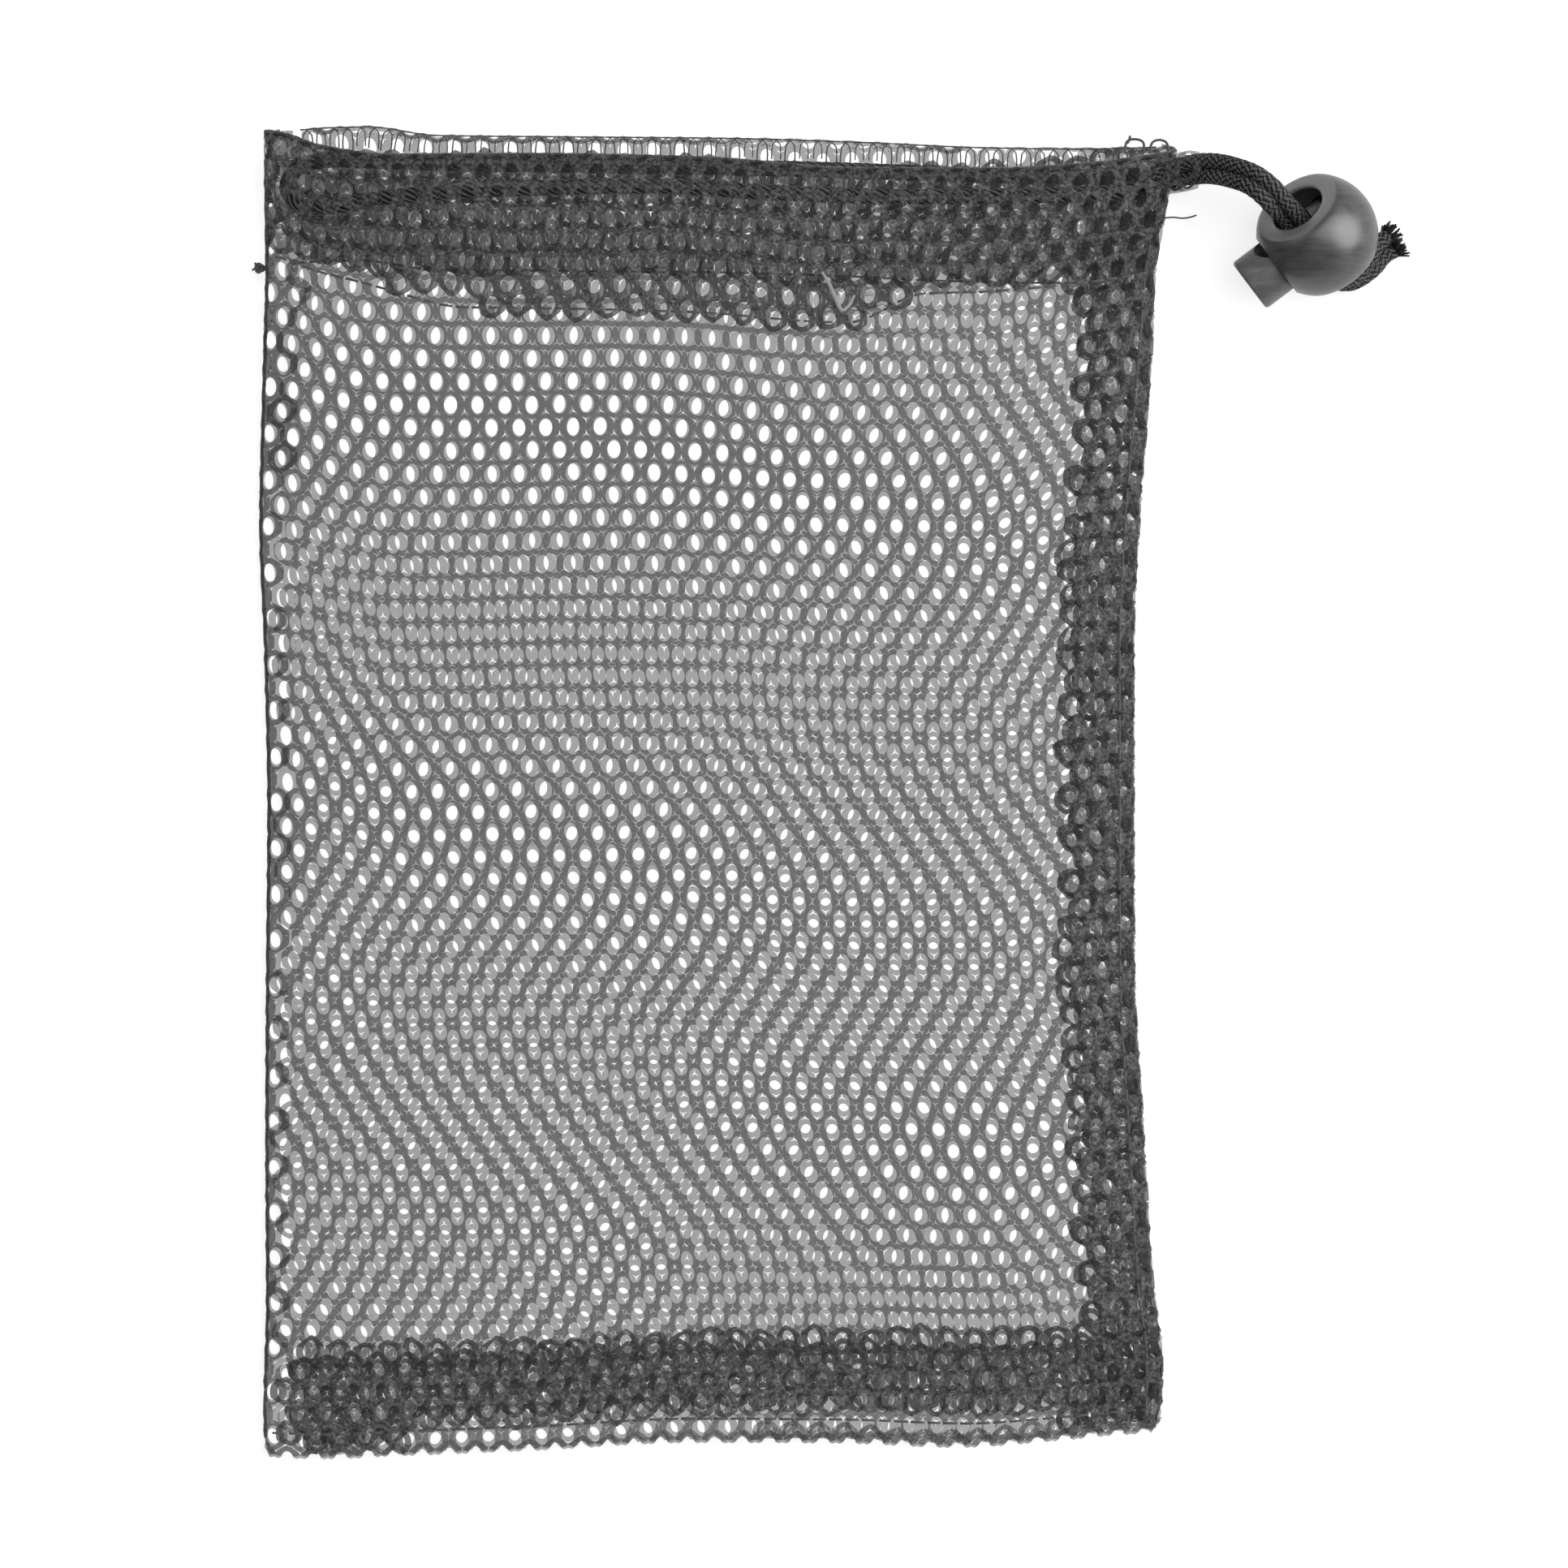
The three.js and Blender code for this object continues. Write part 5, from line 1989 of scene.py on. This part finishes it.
@dataclass
class Drawstring:
    """Braided cord: the loop in the hem and the two free ends through the lock."""

    material: Material
    diameter: float = 2.3
    strands: int = 8
    plait: float = 2.9
    relief: float = 0.24
    closer: float = 0.92
    sides: int = 32
    step: float = 0.2
    loop_sides: int = 24
    loop_step: float = 0.3
    fray_yarns: int = 60
    fray_reach: float = 1.05
    fray_short: float = 0.6
    fray_longer: float = 1.3
    fray_root: float = 0.4
    fray_thick: float = 0.15
    fray_sides: int = 5
    fray_lowest: float = 0.25
    fray_seed: int = 5

    def route(self, end: End) -> Points:
        """Gives the middle line of one free end.

        Args:
            end: which end.

        Returns:
            Points in millimetres.
        """
        sign = end.value
        stops = [np.array(row[:3]) + sign * self.closer * np.array(row[3:]) for row in PAIR_ROUTE]
        east, north = FRONT_IN_HOLE
        stops += [in_lock(PAIR_IN_HOLE + east * sign, north * sign, along) for along in HOLE_STOPS]
        stops += [np.array(row[:3]) + sign * np.array(row[3:]) for row in END_ROUTE]
        return smooth_route(stops, self.step)

    def braid(self, shape: Shape, line: Points, sides: int) -> None:
        """Adds a braided tube, each diamond of the braid one strand on top.

        Args:
            shape: the shape that takes it.
            line: points along its middle.
            sides: corners round it.
        """
        along = length_along(line)[:, None]
        turn = np.arange(sides)[None, :] / sides * self.strands
        right, left = turn + along / self.plait * 2, turn - along / self.plait * 2
        over = (np.floor(right) + np.floor(left)) % 2 < 1
        crest = np.where(over, np.abs(np.sin(math.pi * left)), np.abs(np.sin(math.pi * right)))
        crest = np.sqrt(crest)
        radius = self.diameter / 2 + self.relief * (crest - 0.75)
        # Painted shade in the valleys between strands and a painted highlight on their crests.
        add_tube(shape, line, radius, sides, 1.5 * crest**4 - 0.75)

    def fray(self, shape: Shape, line: Points, seed: int) -> None:
        """Adds the loose yarns at a cut end.

        Args:
            shape: the shape that takes them.
            line: points along the cord's middle.
            seed: fixes the yarns' places.
        """
        chance = np.random.default_rng(seed)
        ahead = line[-1] - line[-6]
        ahead /= np.linalg.norm(ahead)
        level = np.cross(ahead, (0.0, 0.0, 1.0))
        level /= np.linalg.norm(level)
        upright = np.cross(level, ahead)
        share = np.linspace(0.0, 1.0, 5)[:, None]
        for _ in range(self.fray_yarns):
            away = math.sqrt(chance.random()) * self.fray_reach
            turn = chance.random() * 2 * math.pi
            out = level * math.cos(turn) + upright * math.sin(turn)
            length = self.fray_short + self.fray_longer * chance.random()
            bend = (level * (chance.random() - 0.5) + upright * (chance.random() - 0.5)) * 0.5
            start = line[-1] + out * away - ahead * self.fray_root
            spread = out * (0.2 + 0.7 * chance.random())
            yarn = start + share * (ahead * (length + self.fray_root) + spread) + share**2 * bend
            yarn[:, 2] = np.maximum(yarn[:, 2], self.fray_lowest)
            # Each yarn is dark at its root and paler, by chance, towards its tip.
            tint = np.linspace(-1.0, 1.7 * chance.random() - 1.3, len(yarn))[:, None]
            add_tube(shape, yarn, self.fray_thick, self.fray_sides, tint)

    def build(self) -> dict[End, Piece]:
        """Makes the loop and both free ends.

        Returns:
            The free ends.
        """
        ends = {}
        for end, name in ((End.FRONT, "front"), (End.BACK, "back")):
            shape = Shape()
            line = self.route(end)
            self.braid(shape, line, self.sides)
            tail = carry(shape.piece(f"cord_end_{name}", self.material), Body.BAG)
            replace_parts(tail, f"drawstring_tail_{name}")
            ends[end] = tail
        shape = Shape()
        self.braid(shape, smooth_route(LOOP_ROUTE, self.loop_step), self.loop_sides)
        loop = carry(shape.piece("cord_loop", self.material), Body.BAG)
        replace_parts(loop, "drawstring_loop")
        return ends

    def fray_piece(self, end: End) -> Piece:
        """Makes the frayed tip of one free end.

        Args:
            end: which end.

        Returns:
            The piece.
        """
        shape = Shape()
        self.fray(shape, self.route(end), self.fray_seed + end.value)
        name = f"cord_fray_{end.name.lower()}"
        return carry(shape.piece(name, self.material), Body.BAG)

    def declare(self, ends: dict[End, Piece], on_front: Sequence, on_back: Sequence) -> None:
        """Works out each free end's middle line and does nothing more with it.

        Args:
            ends: the free ends; not used.
            on_front: pieces on the front one.
            on_back: pieces on the back one.
        """
        for end, pieces in ((End.FRONT, on_front), (End.BACK, on_back)):
            line = self.route(end)


# Cord lock

def turned(profile: Sequence[tuple[float, float]], sides: int, axis: int) -> tuple[Points, Faces]:
    """Turns a closed profile round an axis of the lock.

    Args:
        profile: radius and place along the axis, in millimetres, round the solid part.
        sides: corners round the axis.
        axis: 0 for the plunger's axis, 2 for the cord hole's.

    Returns:
        Corners in the bag's frame and the faces between them.
    """
    turn = np.linspace(0.0, 2 * math.pi, sides, endpoint=False)
    radius, along = np.array(profile).T
    first, second = np.outer(radius, np.cos(turn)), np.outer(radius, np.sin(turn))
    third = np.outer(along, np.ones(sides))
    local = np.stack([first, second, third] if axis == 2 else [third, first, second], axis=2).reshape(-1, 3)
    count = len(profile)
    faces = []
    for ring in range(count):
        low, high = ring * sides, (ring + 1) % count * sides
        for side in range(sides):
            beside = (side + 1) % sides
            faces.append((low + side, low + beside, high + beside, high + side))
    return LOCK_CENTRE + local @ lock_axes(), faces


@dataclass
class CordLock:
    """Ball cord lock: a ball with a cord hole, and a spring plunger with a slot."""

    ball_material: Material
    plunger_material: Material
    radius: float = 9.0
    flat: float = 6.1
    hole: float = 4.0
    bore: float = 4.5
    bore_end: float = -6.5
    recess: float = 4.95
    recess_depth: float = 0.8
    plunger: float = 4.2
    plunger_tip: float = 12.5
    plunger_root: float = -3.6
    slot_from: float = -0.95
    slot_to: float = 9.0
    slot_width: float = 5.0
    dimple: float = 0.08
    # Where painted shade on the plunger ends, then the painted shade and the painted highlight given to the
    # shade attribute.
    shaded_to: float = 6.0
    painted_shade: float = -0.9
    painted_highlight: float = 0.45
    sharp: float = 32.0
    tool_end: float = 14.0
    ball_sides: int = 72
    bar_sides: int = 64
    round_points: int = 12
    slot_points: int = 25

    def build(self) -> tuple[Piece, Piece]:
        """Makes the ball and the plunger.

        Returns:
            Both pieces.
        """
        ball = self._ball()
        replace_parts(carry(ball, Body.BAG), "cord_lock_ball")
        plunger = self._plunger()
        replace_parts(carry(plunger, Body.PLUNGER), "cord_lock_plunger")
        return ball, plunger

    def _piece(self, name: str, points: Points, faces: Faces, shade: object = 0.0) -> Piece:
        """Makes a plain object of the ball's plastic.

        Args:
            name: its name.
            points: corners.
            faces: faces.
            shade: above 0 for a painted highlight, below 0 for painted shade.

        Returns:
            The object.
        """
        shape = Shape()
        shape.add(points, faces, points[:, :2], shade)
        return shape.piece(name, self.ball_material)

    def _cut(self, piece: Piece, tool: Piece) -> None:
        """Takes one solid out of another and removes the tool.

        Args:
            piece: what is cut.
            tool: what cuts it.
        """
        cut = piece.modifiers.new("cut", "BOOLEAN")
        cut.operation = "DIFFERENCE"
        cut.solver = "EXACT"
        cut.object = tool
        graph = bpy.context.evaluated_depsgraph_get()
        mesh = bpy.data.meshes.new_from_object(piece.evaluated_get(graph))
        piece.modifiers.clear()
        old = piece.data
        piece.data = mesh
        bpy.data.meshes.remove(old)
        bpy.data.objects.remove(tool)

    def _soften(self, piece: Piece) -> None:
        """Keeps sharp edges sharp and the rest smooth."""
        piece.data.shade_smooth()
        piece.data.set_sharp_from_angle(angle=math.radians(self.sharp))

    def _ball(self) -> Piece:
        """Turns the ball round its cord hole and bores it for the plunger.

        Returns:
            The ball.
        """
        hole, flat = self.hole, self.flat
        rim = math.sqrt(self.radius**2 - flat**2)
        # From the middle of the hole over its rounded mouth and the flat's rim to the ball's widest ring.
        upper = [(hole, 0.0), (hole, flat - 0.55), (hole + 0.12, flat - 0.2)]
        upper += [(hole + 0.4, flat - 0.02), (hole + 0.7, flat)]
        upper += [(rim - 0.45, flat), (rim - 0.2, flat - 0.05), (rim + 0.02, flat - 0.2)]
        first = math.degrees(math.asin((flat - 0.42) / self.radius))
        round_part = [math.radians(angle) for angle in np.linspace(first, 0.0, self.round_points)]
        upper += [(self.radius * math.cos(angle), self.radius * math.sin(angle)) for angle in round_part]
        lower = [(radius, -along) for radius, along in upper[-2:0:-1]]
        profile = (upper + lower)[::-1]
        points, faces = turned(profile, self.ball_sides, 2)
        shades = [self._ball_shade(radius, along) for radius, along in profile]
        ball = self._piece("lock_ball", points, faces, np.repeat(shades, self.ball_sides))
        mouth = math.sqrt(self.radius**2 - self.recess**2) - self.recess_depth
        steps = [(0.0, self.bore_end), (self.bore, self.bore_end)]
        steps += [(self.bore, mouth - 0.1), (self.bore + 0.1, mouth)]
        steps += [(self.recess, mouth), (self.recess, self.tool_end), (0.0, self.tool_end)]
        points, faces = self._bar(steps, self.bar_sides)
        # The bore's cut walls take painted shade, which darkens the mouth round the plunger.
        self._cut(ball, self._piece("bore_tool", points, faces, self.painted_shade))
        self._soften(ball)
        return ball

    def _ball_shade(self, radius: float, along: float) -> float:
        """Shade of one ring of the ball: painted shade in the hole, and a painted highlight on both flats.

        Args:
            radius, along: the ring's radius and its place on the hole's axis.

        Returns:
            The shade.
        """
        if radius < self.hole + 0.05:
            return self.painted_shade
        return self.painted_highlight if abs(along) > self.flat - 0.1 else 0.0

    def _bar(self, steps: Sequence[tuple[float, float]], sides: int) -> tuple[Points, Faces]:
        """Turns a solid bar round the plunger's axis.

        Args:
            steps: radius and place along, from the middle of one end to the middle of the other.
            sides: corners round it.

        Returns:
            Corners and faces.
        """
        rings = list(steps[1:-1])
        points, faces = turned(rings, sides, 0)
        last = (len(rings) - 1) * sides
        caps = [tuple(range(sides))[::-1], tuple(range(last, last + sides))]
        return points, faces[:last] + caps

    def _plunger(self) -> Piece:
        """Turns the plunger and cuts its slot.

        Returns:
            The plunger.
        """
        root, tip, radius, shaded_to = self.plunger_root, self.plunger_tip, self.plunger, self.shaded_to
        floor = tip - self.dimple
        # From the inner end's chamfer along the bar to the outer end's rounded rim and shallow dimple.
        steps = [(0.0, root), (radius - 0.4, root), (radius, root + 0.4)]
        steps += [(radius, shaded_to - 0.4), (radius, shaded_to + 0.4), (radius, 8.2)]
        steps += [(radius, tip - 0.5), (radius - 0.06, tip - 0.28), (radius - 0.2, tip - 0.1)]
        steps += [(radius - 0.42, tip), (radius - 0.9, tip)]
        steps += [(radius - 1.0, floor), (0.6, floor), (0.0, floor)]
        points, faces = self._bar(steps, self.bar_sides)
        # The plunger's rings inside the ball take painted shade.
        shades = [self.painted_shade if along < shaded_to else 0.0 for _, along in steps[1:-1]]
        plunger = self._piece("lock_plunger", points, faces, np.repeat(shades, self.bar_sides))
        plunger.data.materials[0] = self.plunger_material
        self._cut(plunger, self._slot_tool())
        self._soften(plunger)
        return plunger

    def _slot_tool(self) -> Piece:
        """Makes the solid that cuts the plunger's slot, with a round outer end.

        Returns:
            The solid.
        """
        half, high = self.slot_width / 2, 2 * self.plunger
        round_end = np.radians(np.linspace(-90.0, 90.0, self.slot_points))
        plan = [(self.slot_from, half), (self.slot_from, -half)]
        plan += [(self.slot_to - half + half * math.cos(turn), half * math.sin(turn)) for turn in round_end]
        corners = [in_lock(x, y, level) for level in (-high, high) for x, y in plan]
        count = len(plan)
        faces = []
        for place in range(count):
            beside = (place + 1) % count
            faces.append((place, beside, beside + count, place + count))
        faces += [tuple(range(count))[::-1], tuple(range(count, 2 * count))]
        # The slot's cut walls take painted shade.
        return self._piece("slot_tool", np.array(corners), faces, self.painted_shade)


# Studio

@dataclass(frozen=True)
class Lamp:
    """One round soft light, in metres and watts; it may light matt things, show in glossy ones, or both."""

    name: str
    place: tuple[float, float, float]
    size: float
    power: float
    lights: bool
    mirrors: bool


LAMPS = (
    Lamp("top_softbox", (0.45, 0.35, 1.4), size=1.3, power=11.0, lights=True, mirrors=True),
    Lamp("side_softbox", (0.95, 0.05, 0.6), size=0.55, power=3.5, lights=True, mirrors=False),
    Lamp("gloss_card", (0.92, 0.12, 0.60), size=1.1, power=19.0, lights=False, mirrors=True),
    Lamp("left_softbox", (-0.9, 0.5, 0.8), size=0.8, power=2.0, lights=True, mirrors=True),
)


@dataclass
class Studio:
    """Camera, pale floor and soft light."""

    centre: tuple[float, float] = (9.76, 1.2)
    distance: float = 1200.0
    view_width: float = 232.8
    sensor: float = 36.0
    floor_half: float = 4.0
    floor_level: float = -0.0002
    floor_glow: float = 0.71
    floor_colour: float = 0.6
    lamp_aim: tuple[float, float, float] = (0.01, 0.0, 0.0)
    sky: float = 0.15

    def camera(self) -> None:
        """Places the camera straight above the bag."""
        lens = bpy.data.cameras.new("overhead")
        lens.sensor_width = self.sensor
        lens.lens = self.sensor * self.distance / self.view_width
        lens.clip_start = 0.01
        lens.clip_end = 50.0
        camera = placed("overhead", lens)
        camera.location = (self.centre[0] * MM, self.centre[1] * MM, self.distance * MM)
        bpy.context.scene.camera = camera

    def floor(self) -> None:
        """Makes the pale floor."""
        mesh = bpy.data.meshes.new("pale_floor")
        half, level = self.floor_half, self.floor_level
        corners = [(-half, -half, level), (half, -half, level), (half, half, level), (-half, half, level)]
        mesh.from_pydata(corners, [], [(0, 1, 2, 3)])
        paint, tree, shader = new_material("pale_floor")
        feed(tree, shader, Base_Color=grey(self.floor_colour), Roughness=0.9, Specular_IOR_Level=0.0)
        feed(tree, shader, Emission_Color=grey(1.0), Emission_Strength=self.floor_glow)
        mesh.materials.append(paint)
        floor = placed("pale_floor", mesh)

    def light(self) -> None:
        """Hangs the soft lights and sets the surroundings."""
        for lamp in LAMPS:
            glow = bpy.data.lights.new(lamp.name, "AREA")
            glow.shape = "DISK"
            glow.size = lamp.size
            glow.energy = lamp.power
            made = placed(lamp.name, glow)
            made.visible_diffuse = lamp.lights
            made.visible_glossy = lamp.mirrors
            made.location = lamp.place
            aim = Vector(self.lamp_aim) - Vector(lamp.place)
            made.rotation_euler = aim.to_track_quat("-Z", "Y").to_euler()
        world = bpy.data.worlds.new("studio")
        world.use_nodes = True
        feed(world.node_tree, world.node_tree.nodes["Background"], Color=grey(1.0), Strength=self.sky)
        bpy.context.scene.world = world
        bpy.context.scene.view_settings.view_transform = "Standard"


def main() -> None:
    """Builds the camera, the cords, the lock, the net and its sewing, then the floor and the lights."""
    logging.basicConfig(level=logging.INFO, format="%(message)s")
    studio = Studio()
    studio.camera()
    finishes = Finishes.make()
    drawstring = Drawstring(finishes.braid)
    ends = drawstring.build()
    frays = {end: drawstring.fray_piece(end) for end in End}
    lock = CordLock(finishes.ball, finishes.plunger)
    ball, plunger = lock.build()
    drawstring.declare(ends, [ball, plunger, frays[End.FRONT]], [frays[End.BACK]])
    bag = NetBag(Knitter(lattice_group(), finishes.net, finishes.doubled_net))
    bag.declare(bag.build())
    Sewing(bag.front, bag.back, finishes.thread, finishes.pale_thread, stitch_group()).build()
    studio.floor()
    studio.light()


if __name__ == "__main__":
    main()
